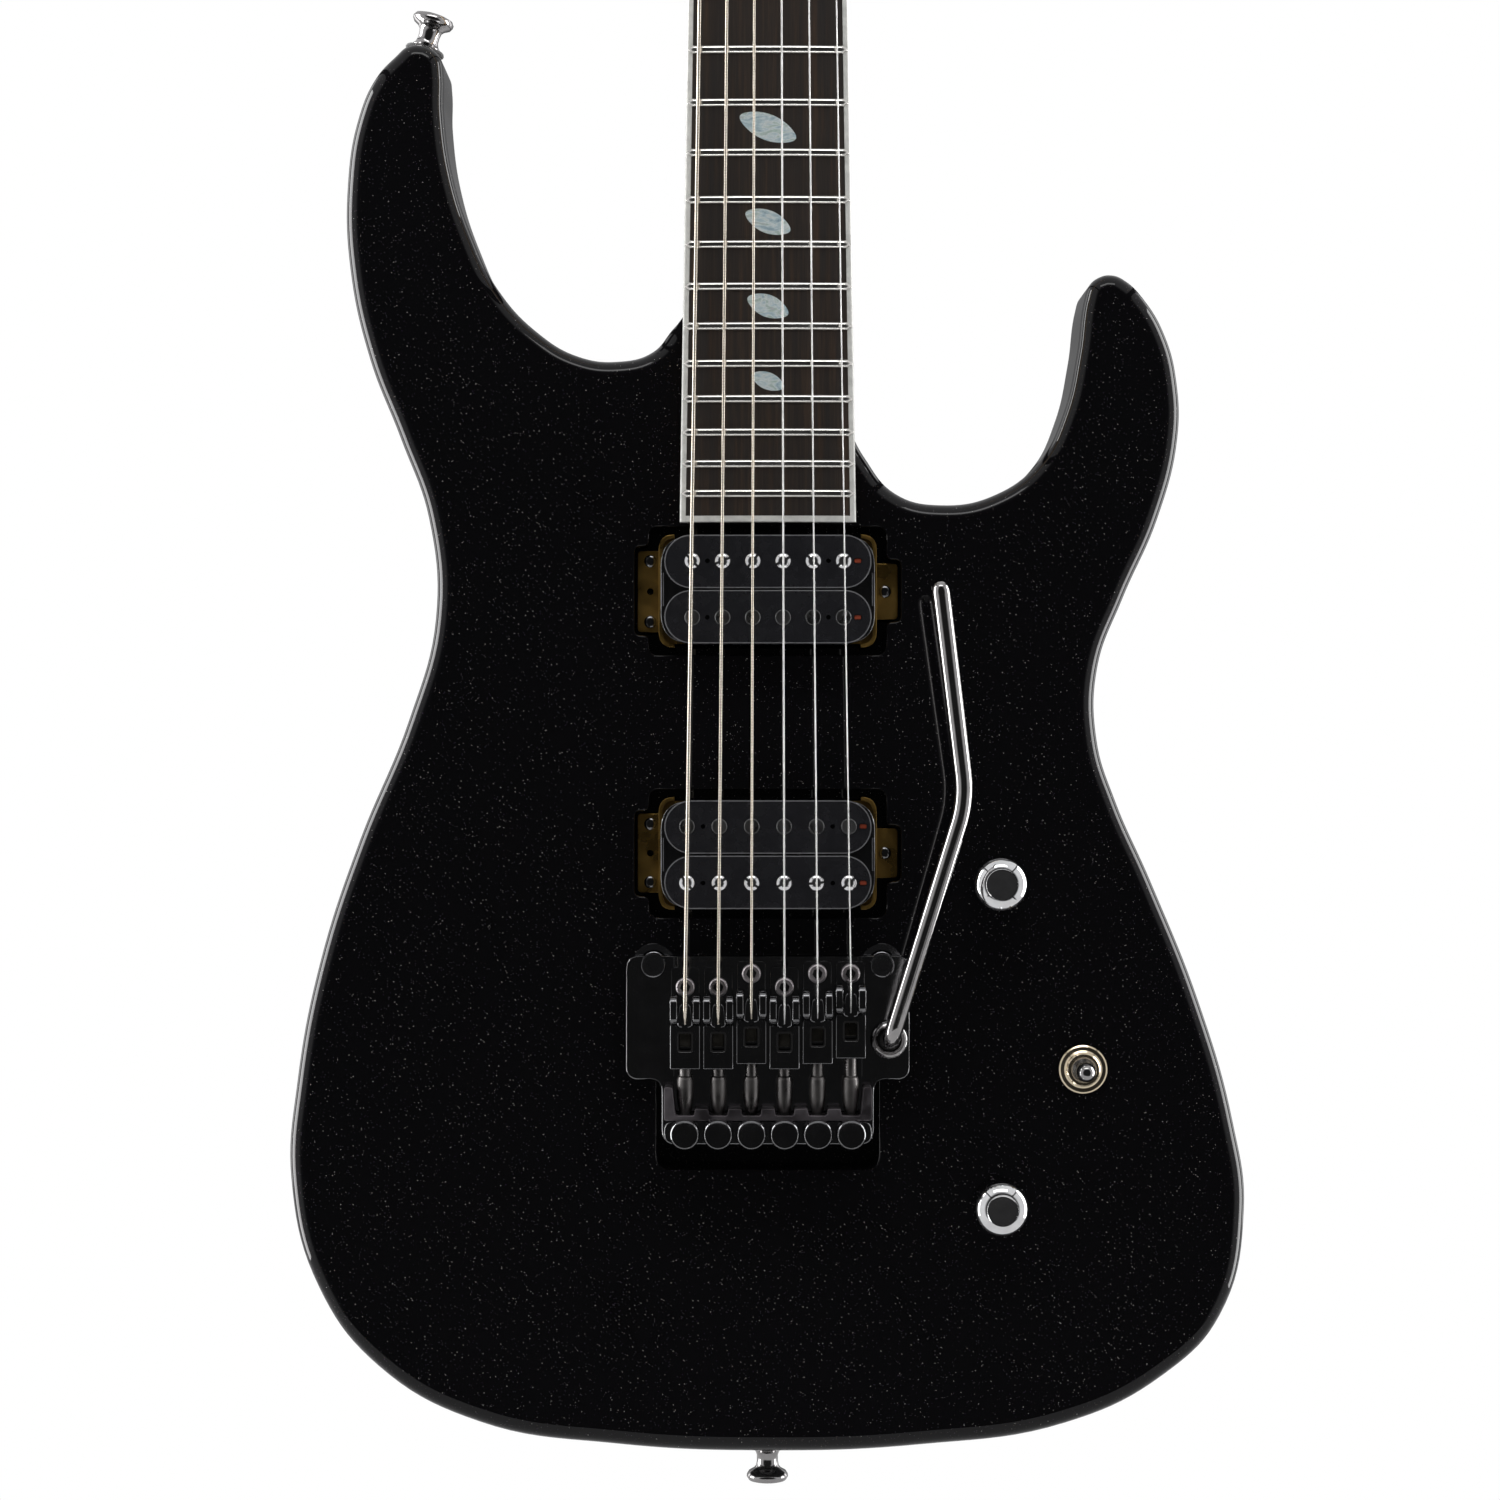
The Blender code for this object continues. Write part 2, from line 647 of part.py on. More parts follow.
def make_strings(mat):
    face = headstock_matrix()
    for index in range(STRING_COUNT):
        radius = STRING_RADII[index]
        saddle_x = string_x(index, SADDLE_SPREAD)
        nut_x = string_x(index, NUT_SPREAD)
        crest = SADDLE_OFFSETS[index] - 4.0 * MM
        post = face @ (tuner_place(index) + Vector((POST_SHIFT, 0, 5.4 * MM)))
        bar = face @ Vector((nut_x, 20 * MM, 5.0 * MM))
        path = [at(saddle_x, -14.0 * MM, crest - 4.6 * MM), at(saddle_x, STRING_Y_SADDLE, crest),
                at(nut_x, STRING_Y_NUT, NUT_V), at(nut_x, STRING_Y_NUT, NUT_V + NUT_LENGTH),
                bar, post]
        part(tube("string_path", path, radius, resolution=1), "string_%d" % (index + 1), mat)


# ---- pickups -------------------------------------------------------------------------------

def make_pickup(name, v, left_foot, right_foot, mat):
    top = -11.5 * MM
    bobbins = []
    for side in (-1, 1):
        outline = stadium(67 * MM, 17.2 * MM, 0, v + side * 8.95 * MM)
        bobbins.append(plate("bobbin", outline, top, 6 * MM))
    tray = box("tray", at(-35.5 * MM, 4 * MM, v - 17 * MM), at(35.5 * MM, 17.2 * MM, v + 17 * MM))
    left = box("left_foot", at(-42.8 * MM, 14.5 * MM, v - left_foot),
               at(-34 * MM, 16.5 * MM, v + left_foot))
    right = box("right_foot", at(34 * MM, 14.5 * MM, v - right_foot),
                at(42.8 * MM, 16.5 * MM, v + right_foot))
    return part(unite(tray, *bobbins, left, right), name, mat)


# ---- tremolo -------------------------------------------------------------------------------

def make_pivot_posts(mat):
    profile = [(0, 8.4), (3.6, 8.4), (4.0, 7.9), (4.0, 6.6), (2.9, 6.4), (2.9, 1.4), (4.0, 1.2),
               (4.0, -22), (0, -22)]
    for name, side in (("pivot_post_bass", -1), ("pivot_post_treble", 1)):
        base = at(side * POST_X, 0, POST_V)
        post = turned("post", [(r * MM, h * MM) for r, h in profile], base, (0, -1, 0), 16)
        cut(post, rod("hex", base + Vector((0, -10 * MM, 0)), base + Vector((0, -6.2 * MM, 0)),
                      1.9 * MM, 6))
        part(post, name, mat)


def make_baseplate(mat, pivot):
    outline = [(x * MM, v * MM) for x, v in (
        (-46.2, 11.9), (46.2, 11.9), (46.2, -28.6), (34.5, -28.1), (34.5, -49.5),
        (-34.5, -49.5), (-34.5, -28.1), (-46.2, -28.6))]
    base = plate("trem_plate", rounded(outline, 4 * MM, steps=3), PLATE_FRONT, PLATE_BACK)
    tail = plate("trem_tail", rounded([(-33.6 * MM, -48.6 * MM), (33.6 * MM, -48.6 * MM),
                                       (33.6 * MM, -37.3 * MM), (-33.6 * MM, -37.3 * MM)],
                                      4 * MM, steps=2), TAIL_FRONT, PLATE_FRONT + 0.6 * MM)
    for index in range(STRING_COUNT):
        x = string_x(index, SADDLE_SPREAD)
        cut(tail, box("tunnel", at(x - 3.2 * MM, TAIL_ROOF, -48 * MM),
                      at(x + 3.2 * MM, PLATE_FRONT + 2 * MM, -35 * MM)))
        cut(tail, rod("tuner_bore", at(x, TAIL_FRONT - MM, FINE_TUNER_V),
                      at(x, TAIL_ROOF + MM, FINE_TUNER_V), 2.5 * MM, 10))
    collar = rod("arm_collar", at(ARM_AT[0], PLATE_FRONT + 0.6 * MM, ARM_AT[1]),
                 at(ARM_AT[0], -9.5 * MM, ARM_AT[1]), 6 * MM, 20)
    unite(base, settled(tail), collar)
    cut(base, rod("arm_hole", at(ARM_AT[0], 2 * MM, ARM_AT[1]), at(ARM_AT[0], -15 * MM, ARM_AT[1]),
                  3.4 * MM, 16))
    for side in (-1, 1):
        x = side * POST_X
        cut(base, rod("knife_notch", at(x, 0, POST_V), at(x, -12 * MM, POST_V), 3.7 * MM, 16))
    return part(base, "tremolo_baseplate", mat, origin=pivot)


def make_sustain_block(mat, pivot):
    block = box("block", at(-20.5 * MM, PLATE_BACK + GAP, -12 * MM), at(20.5 * MM, 37 * MM, 4 * MM))
    bevel = block.modifiers.new("edges", "BEVEL")
    bevel.width = 0.8 * MM
    bevel.segments = 1
    return part(block, "sustain_block", mat, origin=pivot)


def side_slab(name, points, x, width):
    """Outline of (v, y) points seen from the side, centred on x."""
    turn = Matrix(((0, 0, 1, 0), (0, 1, 0, 0), (-1, 0, 0, 0), (0, 0, 0, 1)))
    matrix = Matrix.Translation(at(x, 0, 0)) @ turn
    flipped = [(-v, y) for v, y in points]
    return slab(name, flipped, -width / 2, width / 2, matrix)


def make_saddle(index, mat):
    x = string_x(index, SADDLE_SPREAD)
    shift = SADDLE_OFFSETS[index]
    front = 8.4 * MM if shift < MM else 10.3 * MM
    profile = [(front, -6.5), (front, -8.6), (shift - 0.7 * MM, -8.6), (shift - 0.9 * MM, -14.0),
               (shift - 2.6 * MM, -15.7), (shift - 5.2 * MM, -16.0), (shift - 8.8 * MM, -13.9),
               (shift - 9.2 * MM, -10.6), (shift - 10.2 * MM, -10.6), (shift - 10.4 * MM, -13.2),
               (shift - 24.4 * MM, -13.2), (shift - 24.4 * MM, -6.5)]
    saddle = side_slab("saddle_side", [(v, y * MM) for v, y in profile], x, SADDLE_WIDTH)
    cut(saddle, box("string_way", at(x - 1.4 * MM, -18 * MM, shift - 9.5 * MM),
                    at(x + 1.4 * MM, -12.2 * MM, shift + 0.5 * MM)))
    cut(saddle, box("insert_window", at(x - 2.2 * MM, -15 * MM, shift - 18.5 * MM),
                    at(x + 2.2 * MM, -9.5 * MM, shift - 12.5 * MM)))
    screw_v = 2.0 * MM if shift < MM else 6.4 * MM
    unite(saddle, rod("cap_screw", at(x, -7.5 * MM, screw_v), at(x, -11.4 * MM, screw_v),
                      3.1 * MM, 12))
    lock = turned("lock_screw", [(r * MM, h * MM) for r, h in (
        (0, 47.2), (1.3, 47.2), (1.7, 46.4), (1.7, 36.6), (2.5, 35.2), (2.7, 33), (2.7, 20),
        (0, 20))], at(x, -8.9 * MM, 0), (0, 0, -1), 10)
    unite(saddle, lock)
    pivot = at(x, SADDLE_PIVOT[0], SADDLE_PIVOT[1])
    return part(saddle, "saddle_%d" % (index + 1), mat, origin=pivot)


def make_fine_tuner(index, mat):
    x = string_x(index, SADDLE_SPREAD)
    base = at(x, TAIL_FRONT, FINE_TUNER_V)
    screw = turned("fine_screw", [(r * MM, h * MM) for r, h in (
        (0, 6.6), (4.2, 6.6), (4.8, 6.0), (4.8, 1.0), (4.3, 0.4), (2.0, 0.4), (2.0, -2.6),
        (0, -2.6))], base, (0, -1, 0), 14)
    return part(screw, "fine_tuner_%d" % (index + 1), mat, origin=base)


def smooth_path(points, radius, steps=5):
    """Polyline with each inner corner turned into a bend that starts the radius away."""
    result = [Vector(points[0])]
    for before, corner, after in zip(points, points[1:], points[2:]):
        before, corner, after = Vector(before), Vector(corner), Vector(after)
        start = corner + (before - corner).normalized() * radius
        end = corner + (after - corner).normalized() * radius
        for k in range(steps + 1):
            t = k / steps
            result.append(start * (1 - t) ** 2 + corner * 2 * t * (1 - t) + end * t * t)
    result.append(Vector(points[-1]))
    return result


def make_arm(mat):
    x, v = ARM_AT
    route = [at(x, PLATE_BACK, v), at(x, -15.5 * MM, v), at(62.7 * MM, -33 * MM, 63 * MM),
             at(53.7 * MM, -45 * MM, 131.8 * MM)]
    arm = tube("arm_rod", smooth_path(route, 7 * MM), ARM_RADIUS, resolution=2)
    return part(arm, "tremolo_arm", mat, origin=at(x, PLATE_BACK, v))


def make_springs(mat, claw_mat):
    for number, x in enumerate(SPRING_X, start=1):
        base = at(x, SPRING_Y, 4.4 * MM)
        profile = [(0, 83), (0.9, 83), (0.9, 77), (3.6, 75), (3.6, 8), (0.9, 6), (0.9, 0), (0, 0)]
        spring = turned("spring", [(r * MM, h * MM) for r, h in profile], base, (0, 0, 1), 10)
        part(spring, "tremolo_spring_%d" % number, mat)
    claw = box("claw_plate", at(-25 * MM, 27 * MM, 92 * MM), at(25 * MM, 38.4 * MM, 94 * MM))
    for side in (-1, 1):
        x = side * 13 * MM
        head = rod("claw_head", at(x, SPRING_Y, 89.6 * MM), at(x, SPRING_Y, 93 * MM), 3.4 * MM, 12)
        shank = rod("claw_shank", at(x, SPRING_Y, 92 * MM), at(x, SPRING_Y, 129 * MM), 1.9 * MM, 10)
        unite(claw, head, shank)
    return part(claw, "spring_claw", claw_mat)


# ---- controls ------------------------------------------------------------------------------

def make_harness(mat):
    top = CONTROL_FLOOR + GAP
    pots = []
    for x, v in (VOLUME_AT, TONE_AT):
        bush = rod("bushing", at(x, 10 * MM, v), at(x, -3 * MM, v), 4.7 * MM)
        pots.append((x, v, rod("pot", at(x, top, v), at(x, 18 * MM, v), 12 * MM), bush))
    x, v = SWITCH_AT
    harness = box("switch_box", at(x - 7 * MM, top, v - 10 * MM),
                  at(x + 7 * MM, 26 * MM, v + 10 * MM))
    switch_bush = turned("switch_bush", [(r * MM, h * MM) for r, h in (
        (0, 4.2), (5.2, 4.2), (5.6, 3.8), (5.6, 2.6), (7.6, 2.6), (8.0, 2.2), (8.0, 0.3),
        (5.9, 0.3), (5.9, -10), (0, -10))], at(x, 0, v), (0, -1, 0), 20)
    unite(harness, switch_bush)
    for pot_x, pot_v, pot, bush in pots:
        wire = tube("wire", [at(pot_x, 16 * MM, pot_v), at(pot_x + 2 * MM, 22 * MM, pot_v),
                             at(x - 2 * MM, 23 * MM, v)], 0.9 * MM, resolution=1)
        unite(harness, pot, bush, wire)
        cut(harness, rod("shaft_bore", at(pot_x, -6 * MM, pot_v), at(pot_x, 14.5 * MM, pot_v),
                         3.5 * MM))
    cut(harness, rod("lever_bore", at(x, -6 * MM, v), at(x, 13 * MM, v), 3.6 * MM))
    jack_wire = tube("jack_wire", [at(x, 23 * MM, v - 5 * MM), at(114 * MM, 23 * MM, -62 * MM),
                                   at(127 * MM, 21 * MM, JACK_V)], 0.9 * MM, resolution=1)
    unite(harness, jack_wire)
    return part(harness, "control_harness", mat)


def make_knob(name, place, mat):
    base = at(place[0], 0, place[1])
    profile = [(0, 17.6), (5.0, 17.6), (5.6, 17.3), (8.2, 13.2), (8.9, 10.6), (8.9, 0.8),
               (6.4, 0.8), (6.4, 4.4), (3.0, 4.6), (3.0, -13), (0, -13)]
    knob = turned("knob", [(r * MM, h * MM) for r, h in profile], base, (0, -1, 0), 20)
    return part(knob, name, mat, origin=base)


def make_switch_lever(mat):
    x, v = SWITCH_AT
    pivot = at(x, 3 * MM, v)
    profile = [(0, 18.4), (1.6, 18.1), (2.9, 16.6), (3.2, 15), (2.7, 13.2), (1.5, 11.6),
               (1.2, 8), (1.3, -7), (0, -7)]
    lever = turned("lever", [(r * MM, h * MM) for r, h in profile], pivot, (0, -1, 0), 14)
    return part(lever, "switch_lever", mat, origin=pivot)


def make_jack(mat):
    base = at(JACK_FACE_X, BODY_MIDDLE, JACK_V)
    profile = [(0, -27), (3.3, -27), (3.3, 0), (7.2, 0), (7.6, -0.4), (7.6, -1.2), (5.3, -1.2),
               (5.3, -30), (0, -30)]
    jack = turned("jack", [(r * MM, h * MM) for r, h in profile], base, (1, 0, 0), 24)
    return part(jack, "output_jack", mat)


def strap_places():
    """Foot and direction of each strap button: on the upper horn and at the body's end."""
    lean = radians(16)
    horn = at(-114.6 * MM, BODY_MIDDLE, 311.2 * MM)
    end = at(0, BODY_MIDDLE, -151.8 * MM)
    return ((horn, Vector((sin(lean), 0, cos(lean)))), (end, Vector((0, 0, -1))))


def make_strap_buttons(mat):
    profile = [(0, 13.2), (4.5, 13.2), (6.4, 12.6), (6.9, 11.4), (6.6, 10.2), (4.0, 8.6),
               (3.6, 5), (4.4, 2.6), (4.9, 2.2), (4.9, 1.0), (1.9, 1.0), (1.9, -22), (0, -22)]
    for name, (base, direction) in zip(("strap_button_horn", "strap_button_end"), strap_places()):
        button = turned("button", [(r * MM, h * MM) for r, h in profile], base, direction, 14)
        part(button, name, mat)


def main():
    global PARTS, TOOLS
    clear_scene()
    PARTS = new_collection("electric_guitar")
    TOOLS = new_collection("cutters")
    lacquer = material("black_lacquer", (0.008, 0.008, 0.009), 0.08)
    maple = material("maple", (0.62, 0.42, 0.22), 0.35)
    ebony = material("ebony", (0.045, 0.030, 0.024), 0.45)
    white = material("white_plastic", (0.82, 0.81, 0.78), 0.3)
    black_plastic = material("black_plastic", (0.015, 0.015, 0.016), 0.25)
    steel = material("steel", (0.62, 0.62, 0.63), 0.25, 1.0)
    chrome = material("chrome", (0.75, 0.75, 0.76), 0.08, 1.0)
    black_chrome = material("black_chrome", (0.16, 0.16, 0.17), 0.15, 1.0)
    brass = material("brass", (0.6, 0.45, 0.2), 0.3, 1.0)
    make_body(lacquer)
    make_covers(black_plastic)
    make_neck(maple)
    make_truss_rod(steel)
    make_fretboard(ebony)
    make_binding(white)
    make_nut(black_chrome, black_chrome)
    make_tuners(black_chrome, steel, black_chrome)
    make_strings(steel)
    make_pickup("neck_pickup", NECK_PICKUP_V, 13.4 * MM, 9.2 * MM, black_plastic)
    make_pickup("bridge_pickup", BRIDGE_PICKUP_V, 13.0 * MM, 8.2 * MM, black_plastic)
    make_pivot_posts(black_chrome)
    pivot = at(0, PIVOT_Y, POST_V)
    make_baseplate(black_chrome, pivot)
    make_sustain_block(steel, pivot)
    for index in range(STRING_COUNT):
        make_saddle(index, black_chrome)
        make_fine_tuner(index, black_chrome)
    make_arm(black_chrome)
    make_springs(steel, steel)
    make_harness(brass)
    make_knob("volume_knob", VOLUME_AT, chrome)
    make_knob("tone_knob", TONE_AT, chrome)
    make_switch_lever(chrome)
    make_jack(steel)
    make_strap_buttons(black_chrome)


main()
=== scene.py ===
from math import cos, pi, radians, sin, sqrt

import bmesh
import bpy
from mathutils import Matrix, Vector


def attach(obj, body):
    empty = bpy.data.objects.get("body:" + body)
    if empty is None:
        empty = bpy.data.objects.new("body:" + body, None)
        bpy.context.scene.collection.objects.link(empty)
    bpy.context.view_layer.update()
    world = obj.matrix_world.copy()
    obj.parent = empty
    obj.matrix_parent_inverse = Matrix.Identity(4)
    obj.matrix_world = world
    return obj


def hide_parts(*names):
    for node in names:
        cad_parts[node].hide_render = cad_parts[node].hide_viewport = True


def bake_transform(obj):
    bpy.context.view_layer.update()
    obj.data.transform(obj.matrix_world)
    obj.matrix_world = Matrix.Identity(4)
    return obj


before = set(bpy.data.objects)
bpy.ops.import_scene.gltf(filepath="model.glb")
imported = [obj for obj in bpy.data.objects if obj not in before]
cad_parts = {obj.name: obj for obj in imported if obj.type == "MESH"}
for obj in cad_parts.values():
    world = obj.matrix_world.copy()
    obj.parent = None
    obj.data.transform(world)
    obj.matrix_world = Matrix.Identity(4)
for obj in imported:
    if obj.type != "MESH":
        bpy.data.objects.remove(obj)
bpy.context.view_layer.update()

SADDLE_Z = -672.0
TO_FRAME = Matrix.Scale(0.001, 4) @ Matrix.Translation((0, 0, SADDLE_Z))
UPRIGHT = Matrix.Rotation(pi / 2, 4, "X")
FORWARD = (0, -1, 0)
BACKWARD = (0, 1, 0)
SIDEWAYS = Matrix(((0, 0, 1, 0), (0, 1, 0, 0), (-1, 0, 0, 0), (0, 0, 0, 1)))

# Strings and neck
SCALE_LENGTH = 648.0
NUT_LENGTH = 16.0
FRET_COUNT = 24
STRING_COUNT = 6
NUT_SPREAD = 34.6
SADDLE_SPREAD = 53.6
STRING_RADII = (0.60, 0.50, 0.41, 0.30, 0.25, 0.21)
STRING_Y_NUT = -12.9
STRING_Y_SADDLE = -15.3
NUT_WIDTH = 42.0
BOARD_END_WIDTH = 57.2
BOARD_END_V = 152.9
BOARD_FRONT = -11.2
BOARD_BACK = -5.2
BOARD_RADIUS = 380.0
BINDING_WIDTH = 1.9
NECK_FRONT = -4.9
HEEL_END_V = 156.0
HEEL_BACK = 15.7
HEADSTOCK_V = 660.0
HEADSTOCK_TILT = radians(11.0)
HEADSTOCK_THICKNESS = 14.5

# Body
BODY_BACK = 42.0
BODY_MIDDLE = BODY_BACK / 2
BODY_ROUNDING = 5.5
OUTLINE_INSET = 0.4
PICKUP_DEPTH = 18.0
PICKUP_TOP = -11.5
COIL_SHIFT = 8.95
CONTROL_FLOOR = 8.0
SPRING_FLOOR = 24.0
COVER_DEPTH = 2.1
NECK_PICKUP_V = 131.0
BRIDGE_PICKUP_V = 45.0
VOLUME_AT = (75.3, 35.5)
TONE_AT = (75.6, -69.4)
SWITCH_AT = (103.0, -25.4)
JACK_V = -70.0
JACK_FACE_X = 158.2

# Tremolo
POST_X = 37.3
POST_V = 8.9
PLATE_FRONT = -5.6
PLATE_BACK = -3.0
TAIL_FRONT = -14.0
TAIL_ROOF = -12.0
FINE_TUNER_V = -44.7
SADDLE_OFFSETS = (0.0, 0.0, 1.7, 0.0, 1.7, 3.5)
ARM_AT = (39.5, -15.2)
ARM_RADIUS = 2.9
SPRING_Y = 33.0
SPRING_X = (-14.0, 0.0, 14.0)

# Tuning machines
POST_STEP = 26.0
FIRST_POST = 38.0
POST_SHIFT = 3.6
TUNER_BACK = -24.5
WORM_DEPTH = -20.3
WORM_OFFSET = 4.6

# Flakes in the lacquer: spacing in millimetres, reach in shares of it, share of the cells
FLAKE_SPACING = 0.34
FLAKE_REACH = 0.33
FLAKE_SHARE = 0.06


# ---- materials ------------------------------------------------------------------------------

def material(name, color, roughness, metallic=0.0, **sockets):
    mat = bpy.data.materials.new(name)
    mat.use_nodes = True
    shader = mat.node_tree.nodes["Principled BSDF"]
    shader.inputs["Base Color"].default_value = (*color, 1.0)
    shader.inputs["Roughness"].default_value = roughness
    shader.inputs["Metallic"].default_value = metallic
    for key, value in sockets.items():
        shader.inputs[key.replace("_", " ")].default_value = value
    return mat


def add(mat, kind, settings=None, **inputs):
    """A node of the kind, its sockets set or linked by name, or by place as _0, _1 and so on."""
    node = mat.node_tree.nodes.new("ShaderNode" + kind)
    for key, value in (settings or {}).items():
        setattr(node, key, value)
    for key, value in inputs.items():
        socket = node.inputs[int(key[1:]) if key[1:].isdigit() else key.replace("_", " ")]
        if isinstance(value, bpy.types.NodeSocket):
            mat.node_tree.links.new(value, socket)
        else:
            socket.default_value = value
    return node


def reckon(mat, operation, *values):
    """What one Math node makes of the numbers or sockets."""
    inputs = {"_%d" % place: value for place, value in enumerate(values)}
    return add(mat, "Math", {"operation": operation}, **inputs).outputs[0]


def feed(mat, **links):
    """Link sockets into the material's shader, by the names of its inputs."""
    shader = mat.node_tree.nodes["Principled BSDF"]
    for key, value in links.items():
        mat.node_tree.links.new(value, shader.inputs[key.replace("_", " ")])


def spread(mat, stretch=(1, 1, 1)):
    """Object coordinates, in metres, stretched along the axes."""
    place = add(mat, "TexCoord").outputs["Object"]
    return add(mat, "Mapping", Vector=place, Scale=stretch).outputs["Vector"]


def noise(mat, vector, size, detail=3.0, roughness=0.55):
    """Noise whose features are about the size, in millimetres."""
    return add(mat, "TexNoise", Vector=vector, Scale=1000.0 / size, Detail=detail,
               Roughness=roughness).outputs["Fac"]


def between(mat, value, low, high, start=0.35, end=0.65):
    return add(mat, "MapRange", Value=value, From_Min=start, From_Max=end, To_Min=low,
               To_Max=high).outputs["Result"]


def ramp(mat, value, *stops):
    node = add(mat, "ValToRGB", Fac=value)
    elements = node.color_ramp.elements
    while len(elements) < len(stops):
        elements.new(0.5)
    for element, (place, color) in zip(elements, stops):
        element.position = place
        element.color = (*color, 1.0)
    return node.outputs["Color"]


def bump(mat, height, strength, distance):
    """Bump whose full height is the distance, in millimetres."""
    return add(mat, "Bump", Height=height, Strength=strength,
               Distance=distance * 0.001).outputs["Normal"]


def worn_metal(name, color, roughness, grain=(1, 1, 1), scratch=0.35):
    """Plated metal with smudges, faint haze and fine polishing marks along the stretched axis."""
    mat = material(name, color, roughness, 1.0)
    even = spread(mat)
    smudge = noise(mat, even, 9.0)
    feed(mat, Roughness=between(mat, smudge, roughness * 0.7, roughness * 1.5))
    marks = noise(mat, spread(mat, grain), 0.5, 2.0)
    feed(mat, Normal=bump(mat, marks, scratch, 0.004))
    dim = tuple(c * 0.82 for c in color)
    feed(mat, Base_Color=ramp(mat, noise(mat, even, 4.0), (0.3, dim), (0.7, color)))
    return mat


def lacquer():
    """Black lacquer: fine silver, gold and violet flakes under a clear coat."""
    mat = material("black_lacquer", (0.002, 0.002, 0.0024), 0.24, 0.0, Coat_Weight=1.0,
                   Coat_Roughness=0.03, Coat_IOR=1.33, Specular_IOR_Level=0.0)
    place = spread(mat)
    cell = add(mat, "TexVoronoi", Vector=place, Scale=1000.0 / FLAKE_SPACING)
    red, green = add(mat, "SeparateColor", Color=cell.outputs["Color"]).outputs[:2]
    near = reckon(mat, "LESS_THAN", cell.outputs["Distance"], FLAKE_REACH)
    chosen = reckon(mat, "GREATER_THAN", red, 1 - FLAKE_SHARE)
    flake = reckon(mat, "MULTIPLY", near, chosen)
    tint = ramp(mat, green, (0.0, (0.06, 0.06, 0.08)), (0.45, (0.09, 0.065, 0.045)),
                (0.75, (0.075, 0.05, 0.10)), (0.9, (0.16, 0.15, 0.145)), (1.0, (0.6, 0.58, 0.56)))
    dark = (0.004, 0.0038, 0.0045, 1.0)
    mix = add(mat, "Mix", {"data_type": "RGBA"}, _0=flake, _6=dark, _7=tint)
    feed(mat, Base_Color=mix.outputs[2])
    ripple = noise(mat, place, 14.0, 2.0)
    swirl = noise(mat, spread(mat, (1, 1, 0.35)), 0.7, 2.0)
    peel = reckon(mat, "MULTIPLY_ADD", swirl, 0.06, ripple)
    feed(mat, Coat_Normal=bump(mat, peel, 0.25, 0.02))
    return mat


def wood(name, dark, mid, light, roughness, pore, coat=0.0):
    """Grain that runs along the neck, with open pores."""
    mat = material(name, mid, roughness, Coat_Weight=coat, Coat_Roughness=0.15)
    streaks = noise(mat, spread(mat, (1, 1, 0.035)), 1.6, 5.0, 0.65)
    bands = noise(mat, spread(mat, (1, 1, 0.05)), 11.0, 2.0)
    shade = reckon(mat, "MULTIPLY", reckon(mat, "MULTIPLY_ADD", bands, 0.45, streaks), 0.69)
    feed(mat, Base_Color=ramp(mat, shade, (0.32, dark), (0.5, mid), (0.68, light)))
    feed(mat, Roughness=between(mat, streaks, roughness * 1.2, roughness * 0.85))
    pores = noise(mat, spread(mat, (1, 1, 0.09)), 0.45, 2.0)
    feed(mat, Normal=bump(mat, pores, pore, 0.05))
    return mat


def plastic(name, color, roughness, coat=0.0, grain=0.12):
    mat = material(name, color, roughness, Coat_Weight=coat, Coat_Roughness=0.05)
    even = spread(mat)
    feed(mat, Roughness=between(mat, noise(mat, even, 6.0), roughness * 0.8, roughness * 1.3))
    dim = tuple(c * 0.8 for c in color)
    feed(mat, Base_Color=ramp(mat, noise(mat, even, 3.0), (0.3, dim), (0.7, color)))
    feed(mat, Normal=bump(mat, noise(mat, even, 0.35, 2.0), grain, 0.01))
    return mat


def pearl():
    """Mother of pearl: soft blue, green and rose clouds under a polished face."""
    mat = material("pearl", (0.6, 0.68, 0.72), 0.2, Coat_Weight=1.0, Coat_Roughness=0.05,
                   Specular_IOR_Level=0.8)
    warp = spread(mat, (1, 1, 2.2))
    cloud = add(mat, "TexNoise", Vector=warp, Scale=1000.0 / 7.0, Detail=4.0, Distortion=1.6)
    feed(mat, Base_Color=ramp(mat, cloud.outputs["Fac"], (0.30, (0.30, 0.42, 0.50)),
                              (0.42, (0.52, 0.66, 0.70)), (0.52, (0.74, 0.80, 0.80)),
                              (0.60, (0.46, 0.60, 0.55)), (0.72, (0.66, 0.58, 0.66))))
    feed(mat, Roughness=between(mat, noise(mat, warp, 1.0), 0.12, 0.35))
    feed(mat, Normal=bump(mat, cloud.outputs["Fac"], 0.15, 0.02))
    return mat


def wound_steel():
    """Nickel-wrapped string: ridges a quarter of a millimetre apart, with painted shade, darker and
    warmer, in the grooves between them.
    """
    mat = material("wound_string", (0.78, 0.70, 0.58), 0.34, 1.0)
    wave = add(mat, "TexWave", {"bands_direction": "Z"}, Vector=spread(mat),
               Scale=1000.0 / (0.5 * pi), Distortion=0.6, Detail=1.0).outputs["Fac"]
    # Painted shade: the colour darkens and warms in the grooves between the windings, following the
    # ridges' wave
    feed(mat, Base_Color=ramp(mat, wave, (0.1, (0.66, 0.54, 0.40)), (0.6, (0.92, 0.87, 0.78))))
    feed(mat, Normal=bump(mat, wave, 0.3, 0.04))
    return mat


def felt():
    mat = material("felt", (0.012, 0.012, 0.013), 0.95, Sheen_Weight=0.5)
    fuzz = noise(mat, spread(mat), 0.4, 4.0, 0.7)
    feed(mat, Base_Color=ramp(mat, fuzz, (0.3, (0.006, 0.006, 0.007)), (0.7, (0.03, 0.03, 0.032))))
    feed(mat, Normal=bump(mat, fuzz, 0.8, 0.15))
    return mat


